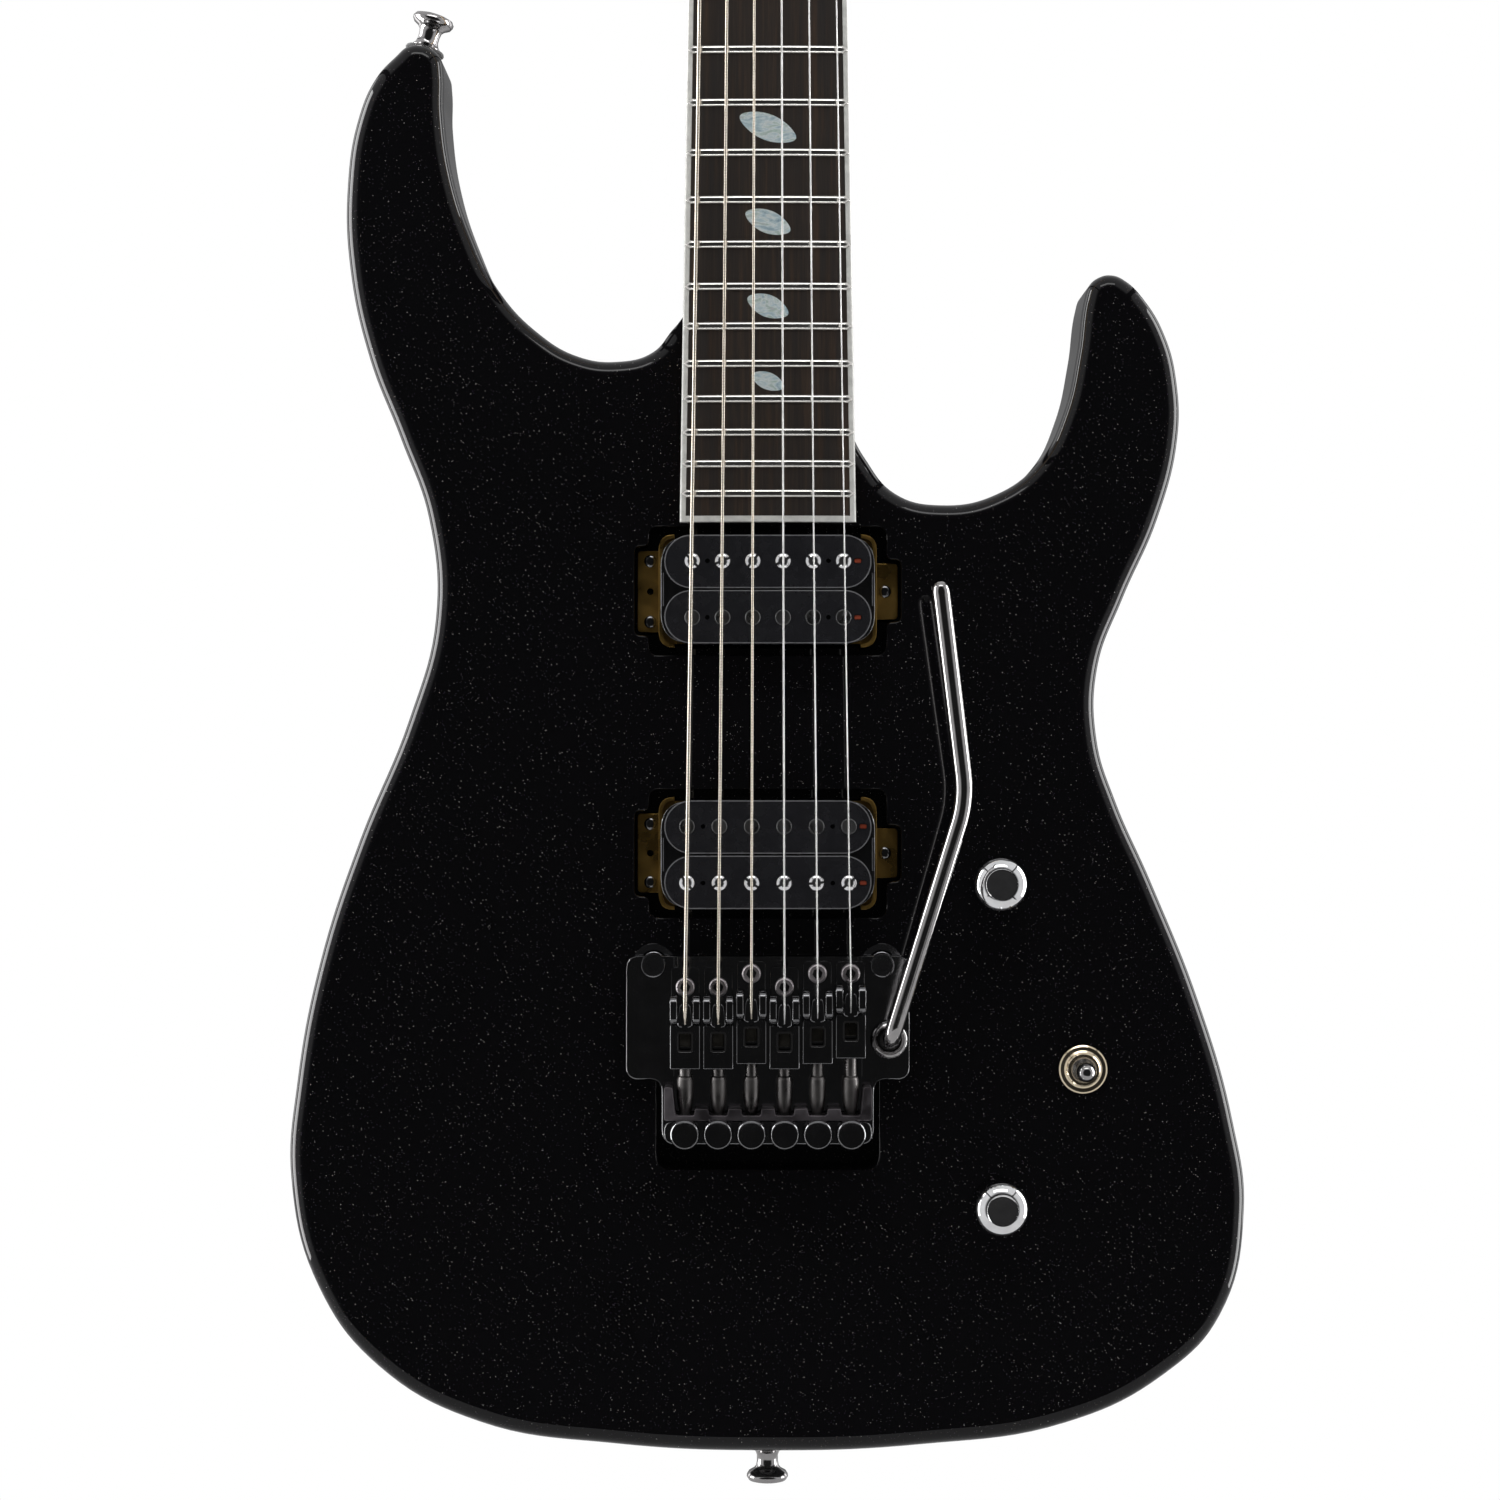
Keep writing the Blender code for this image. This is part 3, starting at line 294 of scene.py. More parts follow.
LACQUER = lacquer()
MAPLE = wood("maple", (0.42, 0.25, 0.11), (0.56, 0.37, 0.18), (0.68, 0.48, 0.26), 0.38, 0.2, 0.3)
EBONY = wood("ebony", (0.006, 0.004, 0.003), (0.020, 0.013, 0.009), (0.060, 0.036, 0.022), 0.5,
             0.7)
WHITE = plastic("white_binding", (0.80, 0.80, 0.76), 0.3, 0.3)
COVER_PLASTIC = plastic("cover_plastic", (0.012, 0.012, 0.013), 0.42, 0.0, 0.6)
BOBBIN_PLASTIC = plastic("bobbin_plastic", (0.018, 0.018, 0.021), 0.24, 0.6, 0.15)
PEARL = pearl()
FELT = felt()
WARM_NICKEL = worn_metal("warm_nickel", (0.74, 0.63, 0.46), 0.14, (1, 1, 1), 0.2)
NICKEL = worn_metal("nickel_silver", (0.80, 0.78, 0.74), 0.16, (0.2, 1, 1))
STEEL = worn_metal("steel", (0.62, 0.62, 0.64), 0.24, (1, 1, 0.2))
PLAIN_STEEL = worn_metal("plain_string", (0.95, 0.94, 0.92), 0.45, (1, 1, 0.1), 0.1)
WOUND_STEEL = wound_steel()
CHROME = worn_metal("bright_chrome", (0.80, 0.80, 0.81), 0.05, (1, 0.3, 1), 0.12)
BLACK_CHROME = worn_metal("black_chrome", (0.24, 0.24, 0.25), 0.13, (1, 1, 0.3), 0.12)
BLACK_NICKEL = worn_metal("black_nickel", (0.36, 0.35, 0.35), 0.08, (1, 1, 0.3), 0.08)
DARK_PLATE = worn_metal("dark_plate", (0.18, 0.18, 0.185), 0.12, (1, 1, 0.3), 0.12)
DARK_INSERT = worn_metal("dark_insert", (0.060, 0.056, 0.048), 0.36, (1, 1, 0.3), 0.5)
SCREW_RING = worn_metal("screw_ring", (0.42, 0.39, 0.40), 0.34, (1, 1, 1), 0.3)
SATIN_BAND = worn_metal("satin_band", (0.22, 0.20, 0.215), 0.42, (0.3, 1, 1), 0.9)
GUN_STEEL = worn_metal("gun_steel", (0.20, 0.19, 0.185), 0.34, (1, 1, 0.2), 0.8)
SLUG_STEEL = worn_metal("slug_steel", (0.15, 0.15, 0.152), 0.3, (1, 1, 1), 0.4)
BRASS = worn_metal("brass", (0.40, 0.25, 0.07), 0.34, (1, 1, 0.4), 0.6)
# Painted highlight: grey standing in for light caught on the pickups' bobbin edges and tape edges
PAINTED_EDGE_HIGHLIGHT = plastic("painted_edge_highlight", (0.20, 0.20, 0.21), 0.3, 0.6, 0.15)
COVER_TAPE = plastic("cover_tape", (0.010, 0.010, 0.011), 0.16, 0.8, 0.3)
COIL_TAPE = worn_metal("coil_tape", (0.05, 0.05, 0.05), 0.5, (1, 0.1, 1), 0.8)
ORANGE = plastic("orange_mark", (0.36, 0.06, 0.025), 0.45, 0.3)
RED_WIRE = plastic("red_wire", (0.45, 0.02, 0.015), 0.4)
GREY_WIRE = plastic("grey_wire", (0.25, 0.25, 0.25), 0.4)
# Near-black: the side dots' own colour, and painted shade in the saddle screws' hex sockets
BLACK_DOTS_AND_SOCKET_SHADE = plastic("black_dots_and_painted_socket_shade", (0.004, 0.004, 0.004), 0.8)


# ---- shapes ---------------------------------------------------------------------------------

def finished(bm):
    bm.normal_update()
    bmesh.ops.recalc_face_normals(bm, faces=bm.faces)
    mesh = bpy.data.meshes.new("shape")
    bm.to_mesh(mesh)
    bm.free()
    return mesh


def facing(direction):
    return Vector((0, 0, 1)).rotation_difference(Vector(direction)).to_matrix().to_4x4()


def moved(mesh, matrix):
    mesh.transform(matrix)
    return mesh


def loft(rings, matrix=None):
    """Skin over rings of equal length, capped at both ends."""
    bm = bmesh.new()
    rows = [[bm.verts.new(point) for point in ring] for ring in rings]
    count = len(rows[0])
    for row, following in zip(rows, rows[1:]):
        for i in range(count):
            j = (i + 1) % count
            bm.faces.new((row[i], row[j], following[j], following[i]))
    bm.faces.new(rows[0])
    bm.faces.new(rows[-1])
    if matrix is not None:
        bm.transform(matrix)
    return finished(bm)


def rounded(points, radius, steps=6):
    """The polygon with each corner turned into a bend of a few points."""
    result = []
    for i, corner in enumerate(points):
        corner = Vector(corner)
        before = Vector(points[i - 1])
        after = Vector(points[(i + 1) % len(points)])
        reach = min(radius, (before - corner).length / 2.2, (after - corner).length / 2.2)
        start = corner + (before - corner).normalized() * reach
        end = corner + (after - corner).normalized() * reach
        for k in range(steps + 1):
            t = k / steps
            point = start * (1 - t) ** 2 + corner * 2 * t * (1 - t) + end * t * t
            result.append((point.x, point.y))
    return result


def rectangle(x, v, half_x, half_v, radius, steps=6):
    return rounded([(x - half_x, v - half_v), (x + half_x, v - half_v), (x + half_x, v + half_v),
                    (x - half_x, v + half_v)], radius, steps)


def stadium(width, height, x, v, steps=16):
    radius = height / 2
    points = []
    for side in (1, -1):
        for k in range(steps + 1):
            angle = -pi / 2 + pi * k / steps
            points.append((x + side * (width / 2 - radius + radius * cos(angle)),
                           v + side * radius * sin(angle)))
    return points


def ring_points(radius, steps=32, x=0.0, y=0.0, turn=0.0):
    angles = [turn + 2 * pi * k / steps for k in range(steps)]
    return [(x + radius * cos(angle), y + radius * sin(angle)) for angle in angles]


def hexagon(radius, x, v, turn=0.0):
    return ring_points(radius, 6, x, v, turn)


def offset(points, amount):
    """The outline moved outward along its corner normals."""
    area = sum(a[0] * b[1] - b[0] * a[1] for a, b in zip(points, points[1:] + points[:1]))
    sign = 1 if area > 0 else -1
    result = []
    for i, point in enumerate(points):
        into = (Vector(point) - Vector(points[i - 1])).normalized()
        out = (Vector(points[(i + 1) % len(points)]) - Vector(point)).normalized()
        normal = Vector((into.y + out.y, -into.x - out.x))
        if normal.length < 1e-6:
            result.append(tuple(point))
            continue
        normal.normalize()
        lift = max(0.5, normal.dot(Vector((out.y, -out.x))))
        result.append((point[0] + sign * amount * normal.x / lift,
                       point[1] + sign * amount * normal.y / lift))
    return result


def prism(points, low, high, matrix, rim=0.0, steps=3, bottom_rim=None):
    """Outline in the matrix's XY plane, thick from low to high, its edges rounded by the rim."""
    bottom = rim if bottom_rim is None else bottom_rim
    levels = []
    for base, size, up in ((low, bottom, 1), (high, rim, -1)):
        bends = []
        if size:
            for k in range(steps + 1):
                angle = pi / 2 * k / steps
                bends.append((-size * (1 - sin(angle)), base + up * size * (1 - cos(angle))))
        else:
            bends.append((0.0, base))
        levels += bends if up > 0 else bends[::-1]
    rings = [[(x, y, level) for x, y in offset(points, inset)] for inset, level in levels]
    return loft(rings, matrix)


def plate(points, front, back, rim=0.0, steps=3, back_rim=None):
    """An (x, v) outline seen from the front, from y = front to y = back."""
    return prism(points, -back, -front, UPRIGHT, rim, steps, back_rim)


def side_plate(points, x, width, rim=0.0, steps=2):
    """A (v, y) outline seen from the side, centred on x."""
    flipped = [(-v, y) for v, y in points]
    return prism(flipped, -width / 2, width / 2, Matrix.Translation((x, 0, 0)) @ SIDEWAYS, rim,
                 steps)


def lathe(profile, base, direction, steps=40, closed=False):
    """Round piece from (radius, height) points; zero radius ends it on the axis, closed joins
    the last point to the first."""
    bm = bmesh.new()
    rows = []
    for radius, height in profile:
        if radius == 0:
            rows.append([bm.verts.new((0, 0, height))])
        else:
            rows.append([bm.verts.new((radius * cos(2 * pi * k / steps),
                                       radius * sin(2 * pi * k / steps), height))
                         for k in range(steps)])
    for row, following in zip(rows, rows[1:] + rows[:1] if closed else rows[1:]):
        for k in range(steps):
            j = (k + 1) % steps
            corners = [row[k % len(row)], row[j % len(row)], following[j % len(following)],
                       following[k % len(following)]]
            unique = list(dict.fromkeys(corners))
            if len(unique) > 2:
                bm.faces.new(unique)
    bm.transform(Matrix.Translation(Vector(base)) @ facing(direction))
    return finished(bm)


def sweep(points, radius, sides=16, taper=None):
    """Tube along the points; taper gives the radius at each point instead."""
    points = [Vector(p) for p in points]
    rings = []
    normal = None
    for i, point in enumerate(points):
        ahead = points[min(i + 1, len(points) - 1)] - point
        behind = point - points[max(i - 1, 0)]
        along = (ahead.normalized() + behind.normalized()).normalized()
        if normal is None:
            normal = along.orthogonal().normalized()
        normal = (normal - along * normal.dot(along)).normalized()
        other = along.cross(normal)
        size = taper[i] if taper else radius
        rings.append([point + (normal * cos(a) + other * sin(a)) * size
                      for a in (2 * pi * k / sides for k in range(sides))])
    return loft(rings)


def smooth_path(points, radius, steps=8):
    """Polyline whose inner corners bend over the radius."""
    result = [Vector(points[0])]
    for before, corner, after in zip(points, points[1:], points[2:]):
        before, corner, after = Vector(before), Vector(corner), Vector(after)
        reach = min(radius, (before - corner).length / 2.1, (after - corner).length / 2.1)
        start = corner + (before - corner).normalized() * reach
        end = corner + (after - corner).normalized() * reach
        for k in range(steps + 1):
            t = k / steps
            result.append(start * (1 - t) ** 2 + corner * 2 * t * (1 - t) + end * t * t)
    result.append(Vector(points[-1]))
    return result


def in_scene(name, data):
    obj = bpy.data.objects.new(name, data)
    bpy.context.scene.collection.objects.link(obj)
    return obj


def evaluated(obj):
    bpy.context.view_layer.update()
    graph = bpy.context.evaluated_depsgraph_get()
    mesh = bpy.data.meshes.new_from_object(obj.evaluated_get(graph))
    bpy.data.objects.remove(obj, do_unlink=True)
    return mesh


def boolean(mesh, operation, others):
    obj = in_scene("temporary", mesh)
    tools = [in_scene("temporary", other) for other in others]
    for other in tools:
        modifier = obj.modifiers.new("cut", "BOOLEAN")
        modifier.operation = operation
        modifier.object = other
    result = evaluated(obj)
    for other in tools:
        bpy.data.objects.remove(other, do_unlink=True)
    return result


def cut(mesh, *others):
    return boolean(mesh, "DIFFERENCE", others)


def unite(mesh, *others):
    return boolean(mesh, "UNION", others)


def bevelled(mesh, width, segments=2, angle=35):
    obj = in_scene("temporary", mesh)
    modifier = obj.modifiers.new("edges", "BEVEL")
    modifier.width = width
    modifier.segments = segments
    modifier.limit_method = "ANGLE"
    modifier.angle_limit = radians(angle)
    return evaluated(obj)


def block(low, high, edge=0.3, segments=2):
    bm = bmesh.new()
    bmesh.ops.create_cube(bm, size=1.0)
    low, high = Vector(low), Vector(high)
    bmesh.ops.scale(bm, vec=high - low, verts=bm.verts)
    bmesh.ops.translate(bm, vec=(high + low) / 2, verts=bm.verts)
    mesh = finished(bm)
    return bevelled(mesh, edge, segments) if edge else mesh


def outline_of(points, resolution):
    """Dense points along the smooth closed curve through the given ones."""
    curve = bpy.data.curves.new("outline", "CURVE")
    curve.dimensions = "3D"
    curve.resolution_u = resolution
    spline = curve.splines.new("BEZIER")
    spline.bezier_points.add(len(points) - 1)
    for point, (x, y) in zip(spline.bezier_points, points):
        point.co = (x, y, 0.0)
        point.handle_left_type = "AUTO"
        point.handle_right_type = "AUTO"
    spline.use_cyclic_u = True
    dense = evaluated(in_scene("outline", curve))
    return [(vert.co.x, vert.co.y) for vert in dense.vertices]


def piece(name, meshes, mat, body, replaces=(), angle=30):
    """Join the meshes into one named piece in the frame, riding on its body."""
    bm = bmesh.new()
    for mesh in meshes if isinstance(meshes, (list, tuple)) else [meshes]:
        bm.from_mesh(mesh)
        bpy.data.meshes.remove(mesh)
    bm.transform(TO_FRAME)
    mesh = bpy.data.meshes.new(name)
    bm.to_mesh(mesh)
    bm.free()
    mesh.materials.clear()
    mesh.materials.append(mat)
    mesh.shade_smooth()
    mesh.set_sharp_from_angle(angle=radians(angle))
    obj = in_scene(name, mesh)
    weighted = obj.modifiers.new("flat_faces", "WEIGHTED_NORMAL")
    weighted.keep_sharp = True
    if body:
        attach(obj, body)
    if replaces:
        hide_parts(*replaces)
    return obj


# ---- layout ---------------------------------------------------------------------------------

def string_x(index, spread_width):
    return spread_width * (index / (STRING_COUNT - 1) - 0.5)


def fret_v(number):
    return SCALE_LENGTH * 2 ** (-number / 12)


def board_half(v):
    share = (SCALE_LENGTH - v) / (SCALE_LENGTH - BOARD_END_V)
    return (NUT_WIDTH + (BOARD_END_WIDTH - NUT_WIDTH) * share) / 2


def board_front(x):
    return BOARD_FRONT + x * x / (2 * BOARD_RADIUS)


def headstock_matrix():
    """Local X across, local Y along the headstock, local Z out of its face."""
    return (Matrix.Translation((0, NECK_FRONT, HEADSTOCK_V))
            @ Matrix.Rotation(pi / 2 - HEADSTOCK_TILT, 4, "X"))


def tuner_place(index):
    return Vector((string_x(index, NUT_SPREAD) - POST_SHIFT, FIRST_POST + POST_STEP * index, 0.0))


TUNER_ROW = (tuner_place(5) - tuner_place(0)).normalized()
TUNER_SIDE = Vector((-TUNER_ROW.y, TUNER_ROW.x, 0.0))
FACE = headstock_matrix()
FACE_OUT = FACE.to_3x3() @ Vector((0, 0, 1))


def face_bore(radius, place, first, last):
    """Cylinder square to the headstock's face, between two heights over it."""
    return bore(radius, FACE @ (place + Vector((0, 0, first))),
                FACE @ (place + Vector((0, 0, last))))


def arc(x, v, radius, first, last, count):
    angles = [radians(first + (last - first) * k / (count - 1)) for k in range(count)]
    return [(x + radius * cos(a), v + radius * sin(a)) for a in angles]


# Clockwise from the end strap button: bass side, upper horn, neck joint, lower horn, treble side
BODY_OUTLINE = (
    [(0, -151.8), (-50, -149.5), (-95, -142.2), (-128, -124), (-148, -97.5), (-157, -62),
     (-155, -30), (-147.4, 9.6), (-134.5, 49.2), (-118.3, 88.8), (-109.5, 122),
     (-111.7, 154.8), (-121, 181.2), (-131.2, 207.6), (-137.6, 237), (-138.4, 265),
     (-134.8, 286.8), (-129, 300)]
    + arc(-115, 302.4, 8.8, 145, -5, 6)
    + [(-106, 288), (-103, 267), (-96.6, 247.2), (-88.3, 230.4), (-75.1, 216.2),
       (-62, 208.6), (-49, 207), (-38, 210), (-31, 218), (-22, 226.5), (-8, 222), (8, 206),
       (24, 190), (32, 175.5), (42, 163.6), (57, 159.8), (75, 163.3), (89, 174), (97, 190),
       (101.3, 209)]
    + arc(112.3, 227, 8.4, 175, 55, 5)
    + [(124, 227.2), (131, 215), (134.8, 200), (135.1, 181.2), (128.5, 154.8), (117, 128.4),
       (108.8, 106), (108.6, 82), (114.6, 62.4), (126.2, 36), (142, -3.6), (153.3, -43.2),
       (157, -72), (149, -107), (130, -127), (98, -142.6), (50, -149.8)])

CONTROL_CAVITY = [(60, 51), (92, 51), (118, 0), (124, -30), (123, -84), (61, -86)]
SPRING_CAVITY = [(-29, -30), (29, -30), (29, 106), (-29, 106)]


def grown(points, amount):
    middle = sum((Vector(p) for p in points), Vector((0, 0))) / len(points)
    return [(x + (amount if x > middle.x else -amount), v + (amount if v > middle.y else -amount))
            for x, v in points]


def pickup_cavity(v, left_lobe, right_lobe):
    half, side, lobe = 21.0, 38.8, 43.6
    return rounded([(-side, v + half), (side, v + half), (side, v + right_lobe),
                    (lobe, v + right_lobe), (lobe, v - right_lobe), (side, v - right_lobe),
                    (side, v - half), (-side, v - half), (-side, v - left_lobe),
                    (-lobe, v - left_lobe), (-lobe, v + left_lobe), (-side, v + left_lobe)],
                   3.4, 5)


def rout(points, surface, floor, rim):
    """Cutter from outside the surface down to the floor, flared by the rim where it starts."""
    inward = 1 if floor > surface else -1
    levels = [(rim, surface - inward * 5.0)]
    for k in range(5):
        angle = pi / 2 * k / 4
        levels.append((rim * (1 - sin(angle)), surface + inward * rim * (1 - cos(angle))))
    levels.append((0.0, floor))
    rings = [[(x, y, -level) for x, y in offset(points, grow)] for grow, level in levels]
    return loft(rings, UPRIGHT)


def bore(radius, start, end):
    run = Vector(end) - Vector(start)
    return lathe([(0, 0), (radius, 0), (radius, run.length), (0, run.length)], start, run, 32)


def well(radius, x, v, first, last):
    """Cylinder square to the face, from y = first to y = last."""
    return bore(radius, (x, first, v), (x, last, v))


# ---- body -----------------------------------------------------------------------------------

def strap_places():
    lean = radians(16)
    return ((Vector((-114.6, BODY_MIDDLE, 311.2)), Vector((sin(lean), 0, cos(lean)))),
            (Vector((0, BODY_MIDDLE, -151.8)), Vector((0, 0, -1))))


NECK_BOLTS = ((-20, 168), (20, 166), (-20, 206), (3, 196))


def make_body():
    outline = offset(outline_of(BODY_OUTLINE, 9), -OUTLINE_INSET)
    shell = plate(outline, 0, BODY_BACK, BODY_ROUNDING, 9)
    cover_seat = BODY_BACK - COVER_DEPTH
    pocket_half = board_half(HEEL_END_V) + 0.3
    open_half = board_half(240) + 0.3
    pocket = [(-pocket_half, HEEL_END_V - 0.3), (pocket_half, HEEL_END_V - 0.3), (open_half, 240),
              (-open_half, 240)]
    cutters = [plate(rounded(pocket, 2.0), -6, HEEL_BACK + 0.3),
               rout(pickup_cavity(NECK_PICKUP_V, 14.6, 10.2), 0, PICKUP_DEPTH, 0.7),
               rout(pickup_cavity(BRIDGE_PICKUP_V, 14.0, 9.2), 0, PICKUP_DEPTH, 0.7),
               rout(rectangle(0, -38.25, 36.4, 20.25, 5.0), 0, 12.0, 0.7),
               plate(rectangle(0, -9, 24, 17, 3), -5, SPRING_FLOOR + 1),
               plate(rounded(SPRING_CAVITY, 6), SPRING_FLOOR, 47),
               rout(rounded(grown(SPRING_CAVITY, 5), 8), BODY_BACK, cover_seat, 0.5),
               plate(rounded(CONTROL_CAVITY, 8), CONTROL_FLOOR, 47),
               rout(rounded(grown(CONTROL_CAVITY, 5), 10), BODY_BACK, cover_seat, 0.5)]
    for (x, v), radius in ((VOLUME_AT, 5.1), (TONE_AT, 5.1), (SWITCH_AT, 6.4)):
        cutters.append(well(radius, x, v, -5, CONTROL_FLOOR + 1))
    for side in (-1, 1):
        cutters.append(well(4.4, side * POST_X, POST_V, -5, 24))
        cutters.append(bore(2.4, (side * 13, SPRING_Y, 104), (side * 13, SPRING_Y, 131)))
    for x, v in NECK_BOLTS:
        cutters.append(well(8.2, x, v, BODY_BACK - 0.6, BODY_BACK + 5))
    cutters.append(bore(5.6, (120, BODY_MIDDLE, JACK_V), (165, BODY_MIDDLE, JACK_V)))
    for base, direction in strap_places():
        cutters.append(bore(2.4, base + direction * 5, base - direction * 24))
    piece("body_shell", cut(shell, *cutters), LACQUER, "guitar", ["body"],
          angle=38)


def cross_screw(x, y, v, radius, direction=BACKWARD, height=0.9):
    """Domed screw head with a cross recess, standing out along the direction."""
    head = lathe([(0, height), (radius * 0.45, height * 0.93), (radius * 0.8, height * 0.66),
                  (radius, height * 0.2), (radius, -0.5), (0, -0.5)], (0, 0, 0), (0, 0, 1), 24)
    arms = []
    for turn in (0, pi / 2):
        wide = block((-radius * 0.55, -radius * 0.12, 0.25), (radius * 0.55, radius * 0.12, 3), 0)
        arms.append(moved(wide, Matrix.Rotation(turn + 0.4, 4, "Z")))
    return moved(cut(head, unite(*arms)), Matrix.Translation((x, y, v)) @ facing(direction))


def make_back():
    face = BODY_BACK - 0.1
    for name, cavity, radius, screws in (
            ("spring_cover", SPRING_CAVITY, 8, ((-28, -29), (28, -29), (-28, 38), (28, 38),
                                                (-28, 105), (28, 105))),
            ("control_cover", CONTROL_CAVITY, 10, ((62, 49), (91, 48), (119, -16), (119, -81),
                                                   (63, -83), (61, -18)))):
        lid = plate(rounded(grown(cavity, 4.6), radius), BODY_BACK - COVER_DEPTH + 0.3, face, 0.0,
                    3, 0.5)
        seats = [lathe([(0, -2.6), (1.5, -2.6), (1.5, -1.3), (2.9, 0.2), (0, 0.2)], (x, face, v),
                       BACKWARD, 24) for x, v in screws]
        if name == "spring_cover":
            seats.append(plate(rectangle(0, -4, 22, 7, 3), BODY_BACK - 5, BODY_BACK + 5))
        piece(name + "_plate", cut(lid, *seats), COVER_PLASTIC, "guitar", [name],
          angle=38)
        piece(name + "_screws", [cross_screw(x, face - 1.1, v, 2.5) for x, v in screws],
              BLACK_NICKEL, "guitar")
    bolts = [cross_screw(x, BODY_BACK - 1.2, v, 4.3) for x, v in NECK_BOLTS]
    cups = [lathe([(4.7, -0.4), (8.0, -0.4), (8.0, 0.1), (7.4, 0.5), (5.6, 0.5), (4.7, -0.2)],
                  (x, BODY_BACK - 0.6, v), BACKWARD, 40, closed=True) for x, v in NECK_BOLTS]
    piece("neck_bolt_cups", cups, BLACK_NICKEL, "guitar")
    piece("neck_bolts", bolts, BLACK_NICKEL, "guitar")


# ---- neck -----------------------------------------------------------------------------------

HEADSTOCK_OUTLINE = [
    (21, -6), (21.3, 3), (24, 11), (29.5, 20), (31, 31), (28.5, 52), (27, 90), (28, 130),
    (32, 162), (38.5, 186), (20, 183), (3, 184), (-4.4, 155), (-13, 122), (-21.6, 89),
    (-30.2, 56), (-36.4, 32), (-32, 21), (-24.5, 11), (-21.3, 3), (-21, -6)]


def neck_ring(v, depth, roundness):
    half = board_half(v)
    ring = []
    for k in range(41):
        angle = pi * k / 40
        side = abs(cos(angle)) ** (2 / roundness) * (1 if cos(angle) >= 0 else -1)
        ring.append((half * side, NECK_FRONT + (depth - NECK_FRONT)
                     * sin(angle) ** (2 / roundness), v))
    return ring


def make_neck():
    stations = ((156, 15.7, 9), (205, 15.7, 9), (228, 15.4, 7), (243, 12.6, 4), (258, 10.9, 2.8),
                (300, 10.6, 2.4), (480, 9.8, 2.3), (630, 9.0, 2.3), (662, 9.4, 2.6), (672, 8.5, 3))
    rings = []
    for (v, depth, power), (next_v, next_depth, next_power) in zip(stations, stations[1:]):
        for k in range(4):
            t = k / 4
            ease = t * t * (3 - 2 * t)
            rings.append(neck_ring(v + (next_v - v) * t, depth + (next_depth - depth) * ease,
                                   power + (next_power - power) * ease))
    rings.append(neck_ring(*stations[-1]))
    head = prism(rounded(HEADSTOCK_OUTLINE, 6, 4), -HEADSTOCK_THICKNESS, -0.1, FACE, 0.3, 2, 2.2)
    head = cut(head, block((-30, -30, 630), (30, NECK_FRONT, 668), 0))
    shaft = unite(loft(rings), head)
    cutters = [block((-3.3, -8, 176), (3.3, 5, 684), 0)]
    for index in range(STRING_COUNT):
        cutters.append(face_bore(3.6, tuner_place(index), 5, -20))
    piece("neck_shaft", cut(shaft, *cutters), MAPLE, "guitar", ["neck"])


def make_headstock_face(outline):
    """Lacquered veneer, and the cover over the truss rod's end."""
    veneer = prism(offset(outline, -0.35), -0.15, 0.35, FACE, 0.25, 2, 0.0)
    holes = [face_bore(3.6, tuner_place(index), 5, -5) for index in range(STRING_COUNT)]
    holes.append(block((-40, -30, 640), (40, 10, 665.5), 0))
    piece("headstock_face", cut(veneer, *holes), LACQUER, "guitar")
    cover = prism(rounded([(-6, 9.5), (6, 9.5), (4.6, 27), (-4.6, 27)], 3), 0.4, 2.2, FACE, 0.6)
    piece("truss_rod_cover", cover, COVER_PLASTIC, "guitar",
          angle=38)
    screws = [moved(cross_screw(0, 0, 0, 1.5, (0, 0, 1), 0.7),
                    FACE @ Matrix.Translation((0, s, 2.1))) for s in (12.2, 24.6)]
    piece("truss_cover_screws", screws, BLACK_NICKEL, "guitar")


def board_ring(v, half, rounding=0.0):
    """Section of the board: flat behind, the board's arc in front, edges rounded."""
    ring = [(half, BOARD_BACK, v), (-half, BOARD_BACK, v)]
    inner = half - rounding
    if rounding:
        for k in range(4):
            angle = pi / 2 * k / 4
            ring.append((-half + rounding * (1 - cos(angle)),
                         board_front(half) + rounding * (1 - sin(angle)), v))
    ring += [(inner * (2 * k / 24 - 1), board_front(inner * (2 * k / 24 - 1)), v)
             for k in range(25)]
    if rounding:
        for k in range(3, -1, -1):
            angle = pi / 2 * k / 4
            ring.append((half - rounding * (1 - cos(angle)),
                         board_front(half) + rounding * (1 - sin(angle)), v))
    return ring


def fret(number):
    """Crown of a fret laid over the board's arc, its ends rolled off on the binding."""
    v = fret_v(number)
    half = board_half(v) - 0.35
    rings = []
    for k in range(-16, 17):
        t = k / 16
        x = half * t
        edge = max(0.0, abs(x) - (half - 1.3)) / 1.3
        size = sqrt(max(0.02, 1 - edge * edge))
        section = []
        for j in range(13):
            angle = pi * j / 12
            section.append((x, board_front(x) + 0.08 - 1.12 * size * sin(angle) ** 0.9,
                            v + 1.35 * size * cos(angle)))
        rings.append(section)
    return loft(rings)


def inlay(number, length, height, tilt):
    """Pearl oval lying a hair proud of the board between two frets."""
    v = (fret_v(number) + fret_v(number - 1)) / 2
    rings = []
    for share, lift in ((1.0, 0.3), (1.0, -0.02), (0.97, -0.05), (0.6, -0.05), (0.2, -0.05)):
        ring = []
        for k in range(48):
            angle = 2 * pi * k / 48
            across = length / 2 * share * cos(angle)
            up = height / 2 * share * sin(angle) * (1 - 0.25 * cos(angle) ** 2)
            x = across * cos(tilt) + up * sin(tilt)
            ring.append((x, board_front(x) + lift, v - across * sin(tilt) + up * cos(tilt)))
        rings.append(ring)
    return loft(rings)


